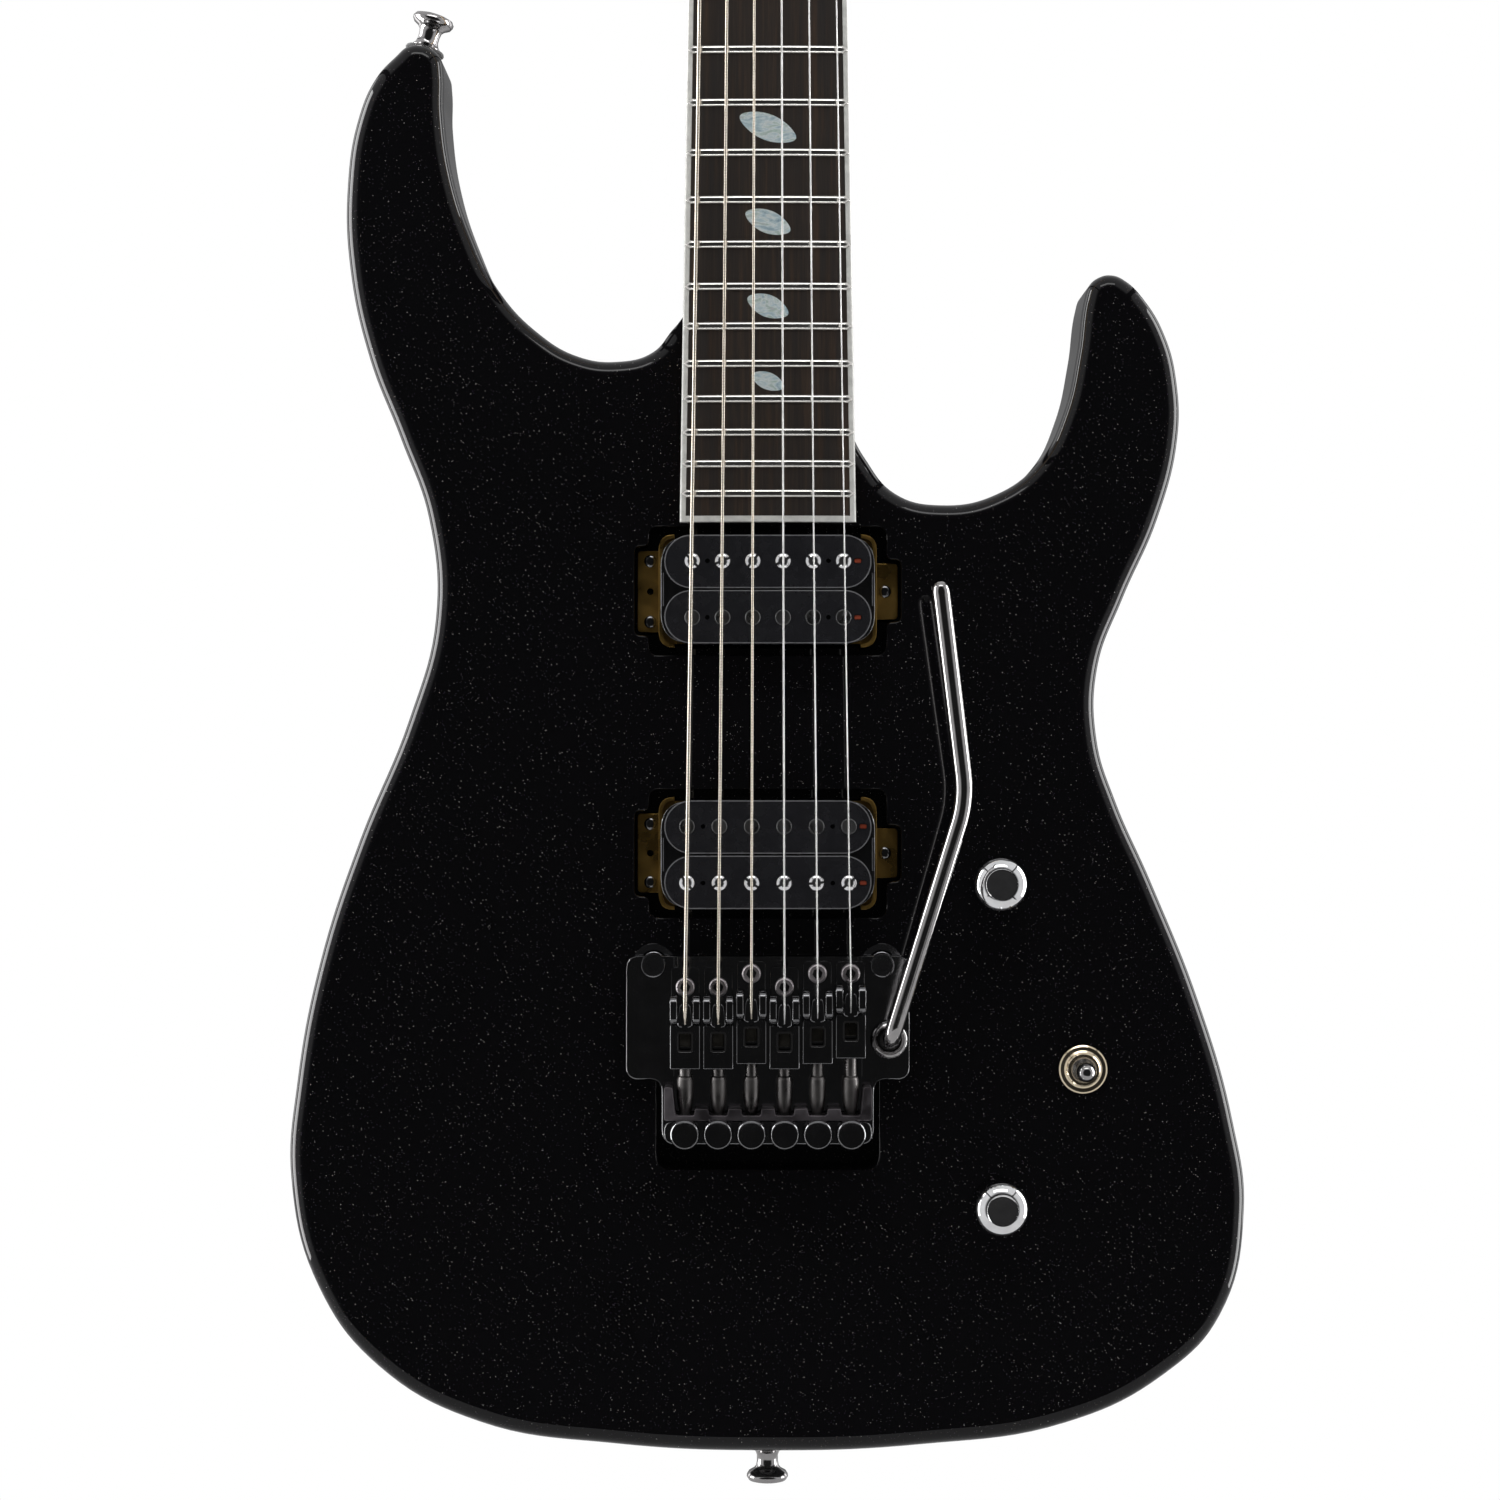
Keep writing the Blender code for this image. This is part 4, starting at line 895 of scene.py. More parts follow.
def make_fretboard():
    inset = BINDING_WIDTH + 0.06
    low = BOARD_END_V + inset
    high = SCALE_LENGTH - 0.3
    board = loft([board_ring(v, board_half(v) - inset) for v in (low, high)])
    piece("fretboard_wood", board, EBONY, "guitar", ["fretboard"])
    outer = loft([board_ring(v, board_half(v), 0.7) for v in (BOARD_END_V, high)])
    core = loft([[(x, y + (4 if y > BOARD_BACK - 0.1 else -4), v) for x, y, v in
                  board_ring(v, board_half(v) - BINDING_WIDTH)]
                 for v in (BOARD_END_V + BINDING_WIDTH, high + 10)])
    piece("binding_strip", cut(outer, core), WHITE, "guitar",
          ["fretboard_binding"])
    piece("frets", [fret(n) for n in range(1, FRET_COUNT + 1)], NICKEL, "guitar",
          angle=50)
    tilt = radians(22)
    sizes = {3: (23, 9.6), 5: (22.5, 9.4), 7: (22, 9.2), 9: (21.5, 9), 12: (21, 8.8),
             15: (19.6, 8.4), 17: (15.6, 7.4), 19: (14.2, 7.2), 21: (11.2, 5.6)}
    piece("inlays", [inlay(n, a, b, tilt) for n, (a, b) in sizes.items()], PEARL, "guitar")
    dots = []
    for n in (3, 5, 7, 9, 12, 15, 17, 19, 21, 24):
        v = (fret_v(n) + fret_v(n - 1)) / 2
        for shift in ((-2.4, 2.4) if n in (12, 24) else (0,)):
            x = -board_half(v + shift)
            dots.append(lathe([(0, 0.04), (1.0, 0.04), (1.0, -0.4), (0, -0.4)],
                              (x, (BOARD_FRONT + BOARD_BACK) / 2 + 0.4, v + shift), (-1, 0, 0), 20))
    piece("side_dots", dots, BLACK_DOTS_AND_SOCKET_SHADE, "guitar",
          angle=38)


def make_nut():
    middle = SCALE_LENGTH + NUT_LENGTH / 2
    half = NUT_WIDTH / 2 - 0.3
    base = block((-half, -11.9, SCALE_LENGTH + 0.3), (half, BOARD_BACK, SCALE_LENGTH + NUT_LENGTH),
                 0.5, 3)
    ways = [bore(STRING_RADII[i] + 0.12, (string_x(i, NUT_SPREAD), STRING_Y_NUT + 0.1, 640),
                 (string_x(i, NUT_SPREAD), STRING_Y_NUT + 0.1, 670)) for i in range(STRING_COUNT)]
    piece("locking_nut", cut(base, *ways), BLACK_CHROME, "guitar", ["nut_base"])
    pitch = NUT_SPREAD / (STRING_COUNT - 1) * 2
    for k in range(3):
        x = pitch * (k - 1)
        clamp = plate(rectangle(x, middle, 6.2, 5.9, 2), -15.6, -13.5, 0.6)
        bolt = lathe([(0, 4.7), (2.3, 4.7), (2.7, 4.3), (2.7, 1.0), (1.7, 0.8), (1.7, -8),
                      (0, -8)], (x, -13.7, middle), FORWARD, 32)
        socket = plate(hexagon(1.45, x, middle), -20, -16.4)
        piece("nut_clamp_block_%d" % (k + 1), [clamp, cut(bolt, socket)], BLACK_CHROME, "guitar",
              ["nut_clamp_%d" % (k + 1)])


def make_string_retainer():
    """Bar that holds the strings down behind the nut, on two screws."""
    ends = [FACE @ Vector((side * 20.5, 20, 6.4)) for side in (-1, 1)]
    bar = sweep([ends[0] + (ends[1] - ends[0]) * k / 12 for k in range(13)], 1.5, 20,
                [1.0] + [1.5] * 11 + [1.0])
    feet = []
    for side in (-1, 1):
        feet.append(lathe([(0, 9.4), (2.1, 9.2), (2.6, 8.6), (2.6, 7.9), (1.5, 7.7), (1.5, -8),
                           (0, -8)], FACE @ Vector((side * 18.6, 20, 0)), FACE_OUT, 24))
        feet.append(lathe([(1.6, 0.2), (2.4, 0.2), (2.4, 5.0), (1.6, 5.0)],
                          FACE @ Vector((side * 18.6, 20, 0)), FACE_OUT, 24, closed=True))
    piece("string_retainer", [bar] + feet, BLACK_NICKEL, "guitar")


def make_tuning_post(index):
    place = tuner_place(index)
    post = lathe([(0, 10.3), (2.4, 10.5), (2.8, 10.2), (3.0, 9.7), (3.0, 7.6), (2.5, 7.0),
                  (2.2, 6.4), (2.2, 4.2), (2.5, 3.6), (3.0, 3.2), (3.0, -16.6), (0, -16.6)],
                 FACE @ place, FACE_OUT, 32)
    eye = bore(0.8, FACE @ (place + Vector((-5, 0, 5.4))), FACE @ (place + Vector((5, 0, 5.4))))
    top_slot = moved(block((-0.5, -4, 9.4), (0.5, 4, 12), 0), FACE @ Matrix.Translation(place))
    body = "tuner_post_%d" % (index + 1)
    piece("tuning_post_%d" % (index + 1), cut(post, eye, top_slot), STEEL, body, [body])


def make_tuner_grip(index):
    """Flattened button on a stem, out of the side of its case."""
    centre = FACE @ (tuner_place(index) + TUNER_ROW * WORM_OFFSET + Vector((0, 0, WORM_DEPTH)))
    outward = (FACE.to_3x3() @ TUNER_SIDE).normalized()
    stem = lathe([(0, 5.2), (1.6, 5.2), (1.6, 13.4), (2.6, 14.2), (3.0, 16.4), (0, 16.6)],
                 centre, outward, 28)
    flattened = Matrix.Diagonal((1, 0.62, 1, 1))
    rings = []
    for height, share in ((15.6, 0.30), (15.9, 0.55), (17.2, 0.80), (19.5, 0.97), (22.5, 1.0),
                          (25.5, 0.96), (27.3, 0.80), (28.0, 0.5)):
        rings.append([(x, y, height) for x, y in stadium(16 * share, 10.4 * share, 0, 0)])
    button = loft(rings, Matrix.Translation(centre) @ facing(outward) @ flattened)
    body = "tuner_button_%d" % (index + 1)
    piece("tuner_grip_%d" % (index + 1), [stem, button], BLACK_NICKEL, body,
          [body], angle=45)


def make_tuner_cases():
    along_angle = TUNER_ROW.to_2d().angle_signed(Vector((1, 0)))
    housings, nuts, screws = [], [], []
    front = -HEADSTOCK_THICKNESS - 0.3
    for index in range(STRING_COUNT):
        place = tuner_place(index)
        local = FACE @ Matrix.Translation(place) @ Matrix.Rotation(along_angle, 4, "Z")
        case = prism(rounded([(-8.2, -7), (8.2, -7), (8.2, 8.5), (-8.2, 8.5)], 4.5), TUNER_BACK,
                     front, local, 0.4, 4, 2.2)
        worm = Vector((WORM_OFFSET, 0, WORM_DEPTH))
        collar = lathe([(2.1, 6.0), (3.4, 6.0), (3.6, 5.6), (3.6, -4.0), (2.1, -4.0)],
                       local @ (worm + Vector((0, 7.2, 0))), local.to_3x3() @ Vector((0, 1, 0)), 32,
                       closed=True)
        flange = prism(rounded([(-10.6, -5.4), (-6, -7), (-6, 7), (-10.6, 1.4)], 2.5), front - 1.6,
                       front, local, 0.3)
        housings += [case, collar, flange]
        screws.append(moved(cross_screw(0, 0, 0, 1.7, (0, 0, -1), 0.8),
                            local @ Matrix.Translation((-8.6, -2.6, front - 1.5))))
        washer = lathe([(3.7, 0.4), (6.4, 0.4), (6.4, 0.9), (6.1, 1.1), (3.7, 1.1)], FACE @ place,
                       FACE_OUT, 40, closed=True)
        hexed = cut(prism(hexagon(5.4, place.x, place.y, 0.3), 1.1, 3.0, FACE, 0.4),
                    face_bore(3.3, place, -1, 6))
        nuts += [washer, hexed]
    piece("tuner_cases", housings, BLACK_NICKEL, "guitar", ["tuner_housings"])
    piece("tuner_nuts", nuts, BLACK_NICKEL, "guitar")
    piece("tuner_screws", screws, BLACK_NICKEL, "guitar")


def make_strings():
    wrap_height = 6.1
    for index, radius in enumerate(STRING_RADII):
        low_x = string_x(index, SADDLE_SPREAD)
        high_x = string_x(index, NUT_SPREAD)
        crest = SADDLE_OFFSETS[index] - 4.0
        place = tuner_place(index)
        wrap = 2.36 + radius
        knots = [(low_x, -12.6, crest - 5.6), (low_x, -14.6, crest - 2.9),
                 (low_x, STRING_Y_SADDLE, crest + 0.3), (high_x, STRING_Y_NUT, SCALE_LENGTH),
                 (high_x, STRING_Y_NUT, SCALE_LENGTH + NUT_LENGTH),
                 FACE @ Vector((high_x, 20, 4.6)), FACE @ (place + Vector((wrap, 0, wrap_height)))]
        path = smooth_path(knots, 1.6, 4)
        straight = []
        for first, second in zip(path, path[1:]):
            pieces = max(1, int((second - first).length / (1.5 if first.z < 40 else 40)))
            pieces = min(pieces, 60)
            straight += [first + (second - first) * k / pieces for k in range(pieces)]
        turns = 1.6 if radius > 0.4 else 2.6
        coil_steps = int(24 * turns)
        for k in range(1, coil_steps + 1):
            angle = 2 * pi * turns * k / coil_steps
            depth = wrap_height - min(1.5, 2.1 * radius * turns) * k / coil_steps
            straight.append(FACE @ (place + Vector((wrap * cos(angle), wrap * sin(angle), depth))))
        mat = WOUND_STEEL if index < 3 else PLAIN_STEEL
        wire = piece("string_wire_%d" % (index + 1), sweep(straight, radius, 12), mat, None,
                     ["string_%d" % (index + 1)], angle=60)
        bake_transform(wire)


def to_frame(x, y, v):
    return TO_FRAME @ Vector((x, y, v))


# ---- pickups --------------------------------------------------------------------------------

def slotted_pole(x, v, turn):
    head = lathe([(0, 0.75), (1.0, 0.66), (1.9, 0.36), (2.45, -0.05), (2.5, -0.5), (0, -0.5)],
                 (0, 0, 0), (0, 0, 1), 28)
    slot = moved(block((-4, -0.42, -0.1), (4, 0.42, 3), 0), Matrix.Rotation(turn, 4, "Z"))
    return moved(cut(head, slot), Matrix.Translation((x, PICKUP_TOP, v)) @ UPRIGHT)


def make_pickup(name, v, screw_side, spacing, turns):
    """Two bobbins, slotted screws through one and plain slugs in the other."""
    top = PICKUP_TOP
    bobbins, coils = [], []
    marks, slugs, poles, edges = [], [], [], []
    for side in (-1, 1):
        centre = v + side * COIL_SHIFT
        row = centre + 0.2 * side
        outline = stadium(67, 17.2, 0, centre, 24)
        cutters = []
        for k in range(STRING_COUNT):
            x = string_x(k, spacing * (STRING_COUNT - 1))
            if side == screw_side:
                cutters.append(well(2.62, x, row, top - 1, top + 0.5))
                poles.append(slotted_pole(x, row, turns[k]))
            else:
                cutters.append(well(2.72, x, row, top - 1, top + 0.6))
                slugs.append(lathe([(0, 0.12), (2.3, 0.12), (2.6, -0.12), (2.6, -2), (0, -2)],
                                   (x, top, row), FORWARD, 32))
        for x in (spacing * -2, spacing * 2):
            cutters.append(well(0.75, x, row, top - 1, top + 4))
        mark_x = spacing * 2.5 + 4.6
        cutters.append(plate(rectangle(mark_x, row, 1.3, 0.9, 0.8), top - 1, top + 0.8))
        marks.append(plate(rectangle(mark_x, row, 1.15, 0.75, 0.6), top + 0.35, top + 1.2, 0.2))
        flange = plate(outline, top, top + 1.7, 0.45, 3, 0.2)
        bobbins.append(cut(flange, *cutters))
        # Painted highlight: a thin grey ring hugging each bobbin's top edge, where light catches
        # the bevel
        edges.append(cut(plate(offset(outline, 0.04), top - 0.05, top + 0.6, 0.15, 2),
                         plate(offset(outline, -0.34), top - 2, top + 2)))
        coils.append(plate(offset(outline, -1.1), top + 1.6, 3.4, 0.3))
        bobbins.append(plate(outline, 3.4, 5.0, 0.3))
    piece(name + "_bobbins", bobbins, BOBBIN_PLASTIC, "guitar", [name])
    piece(name + "_coils", coils, COIL_TAPE, "guitar",
          angle=38)
    piece(name + "_slugs", slugs, SLUG_STEEL, "guitar")
    piece(name + "_pole_screws", poles, CHROME, "guitar", angle=28)
    piece(name + "_marks", marks, ORANGE, "guitar",
          angle=38)
    # Painted highlights: thin grey strips where the tape's edges catch the light
    for x in (-34.5, -33.9, 33.9, 34.5):
        edges.append(block((x - 0.14, -8.8, v - 5.4), (x + 0.14, -7.4, v + 5.4), 0.08))
    piece(name + "_edges", edges, PAINTED_EDGE_HIGHLIGHT, "guitar")
    wrap = plate(rectangle(0, v, 34.8, 17.3, 9.5, 10), -7.6, 4.9, 0.4)
    piece(name + "_wrap", wrap, COVER_TAPE, "guitar")


def make_pickup_frame(name, v, left_foot, right_foot):
    """Brass tray with a wall and a foot at each end, three holes and two screws left and one screw
    right.
    """
    tray = plate(rectangle(0, v, 35.4, 17.3, 5), 5.0, 6.4, 0.3)
    wall = cut(plate(rectangle(0, v, 35.7, 18.5, 5), 1.0, 6.0, 0.2),
               plate(rectangle(0, v, 34.5, 17.3, 4.0), -9, 9),
               block((-30.6, -9, v - 30), (30.6, 9, v + 30), 0))
    feet, screws = [], []
    for side, foot in ((-1, left_foot), (1, right_foot)):
        x = side * 38.6
        rows = ((foot - 3.4, 1.7), (-foot + 3.4, 1.7), (0, 1.1)) if side < 0 else ((0, 1.7),)
        holes = [well(radius, x, v + d, 0, 20) for d, radius in rows]
        feet.append(cut(plate(rectangle(x, v, 4.2, foot, 1.4), 5.2, 6.4, 0.25), *holes))
        for d, radius in rows:
            if radius > 1.5:
                screws.append(cross_screw(x, 5.2, v + d, 2.0, FORWARD, 0.7))
                screws.append(well(1.2, x, v + d, 5.0, PICKUP_DEPTH - 0.2))
    piece(name + "_frame", [tray, wall] + feet, BRASS, "guitar")
    piece(name + "_height_screws", screws, DARK_PLATE, "guitar")


# ---- tremolo --------------------------------------------------------------------------------

def make_pivot_posts():
    for name, side in (("pivot_post_bass", -1), ("pivot_post_treble", 1)):
        x = side * POST_X
        stud = lathe([(0, 8.35), (3.3, 8.4), (3.8, 8.2), (4.0, 7.8), (4.0, 6.7), (3.8, 6.5),
                      (2.9, 6.4), (2.9, 1.4), (3.7, 1.3), (4.0, 1.1), (4.0, -22), (0, -22)],
                     (x, 0, POST_V), FORWARD, 40)
        socket = plate(hexagon(1.9, x, POST_V, 0.3), -10, -6.0)
        groove = lathe([(2.9, 9), (3.15, 9), (3.15, 8.1), (2.9, 8.1)], (x, 0, POST_V), FORWARD,
                       40, closed=True)
        piece(name + "_stud", cut(stud, socket, groove), BLACK_CHROME, "guitar",
              [name])
        sleeve = lathe([(4.4, -0.4), (6.6, -0.4), (6.8, -0.1), (6.6, 0.25), (4.6, 0.3)],
                       (x, 0, POST_V), FORWARD, 40, closed=True)
        piece(name + "_sleeve", sleeve, BLACK_CHROME, "guitar")


def make_baseplate():
    outline = rounded([(-46.2, 11.9), (46.2, 11.9), (46.2, -28.6), (34.5, -28.1), (34.5, -49.5),
                       (-34.5, -49.5), (-34.5, -28.1), (-46.2, -28.6)], 4.5, 6)
    base = plate(outline, PLATE_FRONT, PLATE_BACK, 0.5, 3)
    cutters = [well(3.4, ARM_AT[0], ARM_AT[1], 2, -15)]
    for side in (-1, 1):
        cutters.append(well(3.7, side * POST_X, POST_V, 2, -12))
    for index in range(STRING_COUNT):
        x = string_x(index, SADDLE_SPREAD)
        cutters.append(well(1.3, x, 9.4, 0, -12))
    base = cut(base, *cutters)
    for side in (-1, 1):
        rib = side_plate([(11.6, -5.0), (11.6, -6.2), (-6, -8.8), (-27, -8.8), (-27, -5.0)],
                         side * 29.9, 1.5, 0.3)
        base = unite(base, rib)
    piece("tremolo_plate", base, DARK_PLATE, "tremolo", ["tremolo_baseplate"])
    collar = lathe([(3.5, -1.0), (6.2, -1.0), (6.2, 2.2), (6.0, 3.0), (5.5, 3.6), (4.9, 3.9),
                    (4.3, 3.6), (3.7, 3.0)], (ARM_AT[0], PLATE_FRONT, ARM_AT[1]), FORWARD, 48,
                   closed=True)
    piece("arm_collar", collar, BLACK_NICKEL, "tremolo")


def make_tail():
    """The fine tuners' seat: a satin band with a comb of string ways and a rounded ledge."""
    comb = [(-33.6, -40.9), (33.6, -40.9), (33.6, -30.0), (30.9, -30.0)]
    for index in reversed(range(STRING_COUNT)):
        x = string_x(index, SADDLE_SPREAD)
        comb += [(x + 3.1, -39.2), (x - 3.1, -39.2)]
        if index:
            comb += [(x - 3.1, -37.0), (x - SADDLE_SPREAD / 5 + 3.1, -37.0)]
    comb += [(-30.9, -30.0), (-33.6, -30.0)]
    tail = plate(rounded(comb, 0.9, 3), TAIL_FRONT, PLATE_FRONT, 0.45, 2, 0.0)
    tunnels = []
    for index in range(STRING_COUNT):
        x = string_x(index, SADDLE_SPREAD)
        tunnels.append(block((x - 3.2, TAIL_ROOF, -47.4), (x + 3.2, PLATE_FRONT - 0.6, -35), 0))
        tunnels.append(well(2.5, x, FINE_TUNER_V, TAIL_FRONT - 1, TAIL_ROOF + 1))
    piece("tail_band", cut(tail, *tunnels[0::2]), SATIN_BAND, "tremolo")
    ledge = plate(rectangle(0, -44.8, 33.6, 3.8, 3.6), TAIL_FRONT + 0.7, PLATE_FRONT, 0.5, 3, 0.0)
    piece("tail_ledge", cut(ledge, *[tunnel.copy() for tunnel in tunnels]), DARK_PLATE,
          "tremolo")


def make_sustain_block():
    brass = block((-20.5, PLATE_BACK + 0.3, -12), (20.5, 37, 4), 0.9, 3)
    holes = [bore(1.5, (string_x(i, 34), 30, -5), (string_x(i, 34), 40, -5))
             for i in range(STRING_COUNT)]
    piece("sustain_block_body", cut(brass, *holes), BRASS, "tremolo", ["sustain_block"])


def make_saddle(index):
    x = string_x(index, SADDLE_SPREAD)
    shift = SADDLE_OFFSETS[index]
    far = shift > 1
    foot_end = 10.3 if far else 8.4
    screw_v = 6.4 if far else 2.0
    body = "saddle_%d" % (index + 1)
    foot = plate(rounded([(x - 4.6, shift - 9), (x + 4.6, shift - 9), (x + 4.6, foot_end),
                          (x - 4.6, foot_end)], 1.5), -8.5, -6.5, 0.3, 2)
    cheek = rounded([(shift - 0.5, -6.8), (shift - 0.5, -13.4), (shift - 2.2, -15.3),
                     (shift - 8.4, -15.3), (shift - 9.8, -13.8), (shift - 9.8, -6.8)], 1.6, 5)
    ears = [side_plate(cheek, x + side * 3.7, 2.5, 0.5, 3) for side in (-1, 1)]
    hump = plate(rounded([(x - 1.9, shift - 3.0), (x + 1.9, shift - 3.0), (x + 2.6, shift - 10.8),
                          (x - 2.6, shift - 10.8)], 1.7, 6), -14.6, -6.8, 0.5, 3)
    anchor = block((x - 4.9, -13.2, shift - 24.4), (x + 4.9, -6.5, shift - 10.1), 0.45, 3)
    link = block((x - 4.4, -11.2, shift - 10.8), (x + 4.4, -6.6, shift - 8.4), 0.2)
    way = plate(rounded([(x - 0.95, shift + 2), (x + 0.95, shift + 2), (x + 0.95, shift - 12),
                         (x - 0.95, shift - 12)], 0.8), -20, -11.6)
    window = plate(rectangle(x, shift - 15.5, 2.2, 3.0, 0.9), -18, -9.5)
    joined = unite(foot, hump, *ears, anchor, link)
    piece("saddle_block_%d" % (index + 1), cut(joined, way, window), DARK_PLATE, body,
          [body])
    rim = cut(plate(rectangle(x, shift - 15.5, 2.55, 3.35, 1.1), -13.5, -12.6, 0.15, 2),
              plate(rectangle(x, shift - 15.5, 1.95, 2.75, 0.7), -15, -12))
    insert = block((x - 1.9, -12.2, shift - 17.1), (x + 1.9, -9.5, shift - 12.6), 0.3, 2)
    piece("saddle_insert_%d" % (index + 1), insert, DARK_INSERT, body)
    piece("saddle_window_%d" % (index + 1), rim, BLACK_NICKEL, body)
    head = lathe([(0, 3.6), (2.15, 3.6), (2.3, 3.9), (2.6, 3.9), (3.0, 3.6), (3.1, 2.9),
                  (3.1, -0.6), (0, -0.6)], (x, -7.5, screw_v), FORWARD, 36)
    # Painted shade: a near-black hexagon set into the bottom of the screw's hex socket
    painted_socket_shade = plate(hexagon(1.72, x, screw_v, 0.2), -10.1, -9.0)
    piece("saddle_socket_%d" % (index + 1), painted_socket_shade, BLACK_DOTS_AND_SOCKET_SHADE, body)
    socket = plate(hexagon(1.75, x, screw_v, 0.2), -13, -9.2)
    piece("saddle_screw_%d" % (index + 1), cut(head, socket), SCREW_RING, body)
    lock = lathe([(0, 47.2), (1.2, 47.2), (1.7, 46.6), (1.7, 39.2), (1.95, 38.4), (2.15, 37.2),
                  (2.5, 35.4), (2.72, 33.4), (2.72, 28.2), (2.5, 27.8), (2.45, 27.2), (1.95, 26.8),
                  (1.95, 20.5), (0, 20.5)], (x, -8.9, 0), (0, 0, -1), 28)
    piece("lock_screw_%d" % (index + 1), lock, GUN_STEEL, body)


def make_fine_tuner(index):
    x = string_x(index, SADDLE_SPREAD)
    knurls = 40
    knurl_depth = 0.05
    skirt = 4.8
    rings = []
    for radius, height in ((1.0, 6.45), (3.6, 6.45), (4.2, 6.6), (4.6, 6.3), (skirt, 5.9),
                           (skirt, 1.1), (4.4, 0.5), (2.0, 0.4)):
        ring = []
        for k in range(knurls * 4):
            angle = 2 * pi * k / (knurls * 4)
            ripple = knurl_depth * (1 if k % 4 < 2 else -1) if radius == skirt else 0.0
            reach = radius - knurl_depth + ripple
            ring.append((reach * cos(angle), reach * sin(angle), height))
        rings.append(ring)
    head = loft(rings, Matrix.Translation((x, TAIL_FRONT, FINE_TUNER_V)) @ UPRIGHT)
    shank = lathe([(0, 1.2), (1.9, 1.2), (1.9, -2.6), (0, -2.6)], (x, TAIL_FRONT, FINE_TUNER_V),
                  FORWARD, 24)
    name = "fine_tuner_%d" % (index + 1)
    piece(name + "_screw", [head, shank], DARK_PLATE, name, [name])


def make_arm():
    x, v = ARM_AT
    knots = [(x, PLATE_BACK, v), (x, -15.5, v), (62.7, -33, 63), (53.7, -45, 131.8)]
    path = smooth_path(knots, 8.5, 12)
    last = path[-1]
    along = (last - path[-2]).normalized()
    route, taper = list(path[:-1]), [ARM_RADIUS] * (len(path) - 1)
    for back, share in ((4.0, 1.0), (2.9, 0.98), (1.6, 0.86), (0.7, 0.62), (0.1, 0.25)):
        route.append(last - along * back)
        taper.append(ARM_RADIUS * share)
    rod = sweep(route, ARM_RADIUS, 32, taper)
    nut = lathe([(2.95, 5.2), (3.25, 5.2), (3.3, 4.8), (3.3, 0.5), (2.95, 0.5)], (x, -5.5, v),
                FORWARD, 32, closed=True)
    piece("tremolo_bar", [rod, nut], BLACK_NICKEL, "tremolo_arm", ["tremolo_arm"],
          angle=50)


def make_springs():
    for number, x in enumerate(SPRING_X, start=1):
        low, high = 5.0, 86.6
        path = [(x, SPRING_Y, low), (x, SPRING_Y, low + 3.5)]
        turns = 26
        steps = 14
        for k in range(turns * steps + 1):
            angle = 2 * pi * k / steps
            height = low + 6 + (high - low - 12) * k / (turns * steps)
            grow = min(1.0, k / steps, (turns * steps - k) / steps)
            path.append((x + 3.1 * grow * sin(angle), SPRING_Y + 3.1 * grow * cos(angle), height))
        path += [(x, SPRING_Y, high - 3.5), (x, SPRING_Y, high)]
        coil = piece("spring_coil_%d" % number, sweep(path, 0.5, 6), STEEL, None,
                     ["tremolo_spring_%d" % number], angle=70)
        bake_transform(coil)


def make_claw():
    bar = plate(rectangle(0, 93, 25, 1, 0.6, 3), 27, 38.4, 0.3, 2)
    screws = []
    for side in (-1, 1):
        x = side * 13
        screws.append(lathe([(0, 3.4), (2.2, 3.2), (3.2, 2.2), (3.4, 1.0), (3.4, 0), (1.9, 0),
                             (1.9, -37), (0, -39)], (x, SPRING_Y, 92), (0, 0, -1), 28))
    hooks = [sweep([(x, SPRING_Y, 86), (x, SPRING_Y, 91), (x, SPRING_Y - 2.2, 94.8),
                    (x, SPRING_Y - 4.2, 92)], 0.8, 10) for x in SPRING_X]
    piece("claw_bar", [bar] + screws + hooks, STEEL, "guitar", ["spring_claw"])


# ---- controls -------------------------------------------------------------------------------

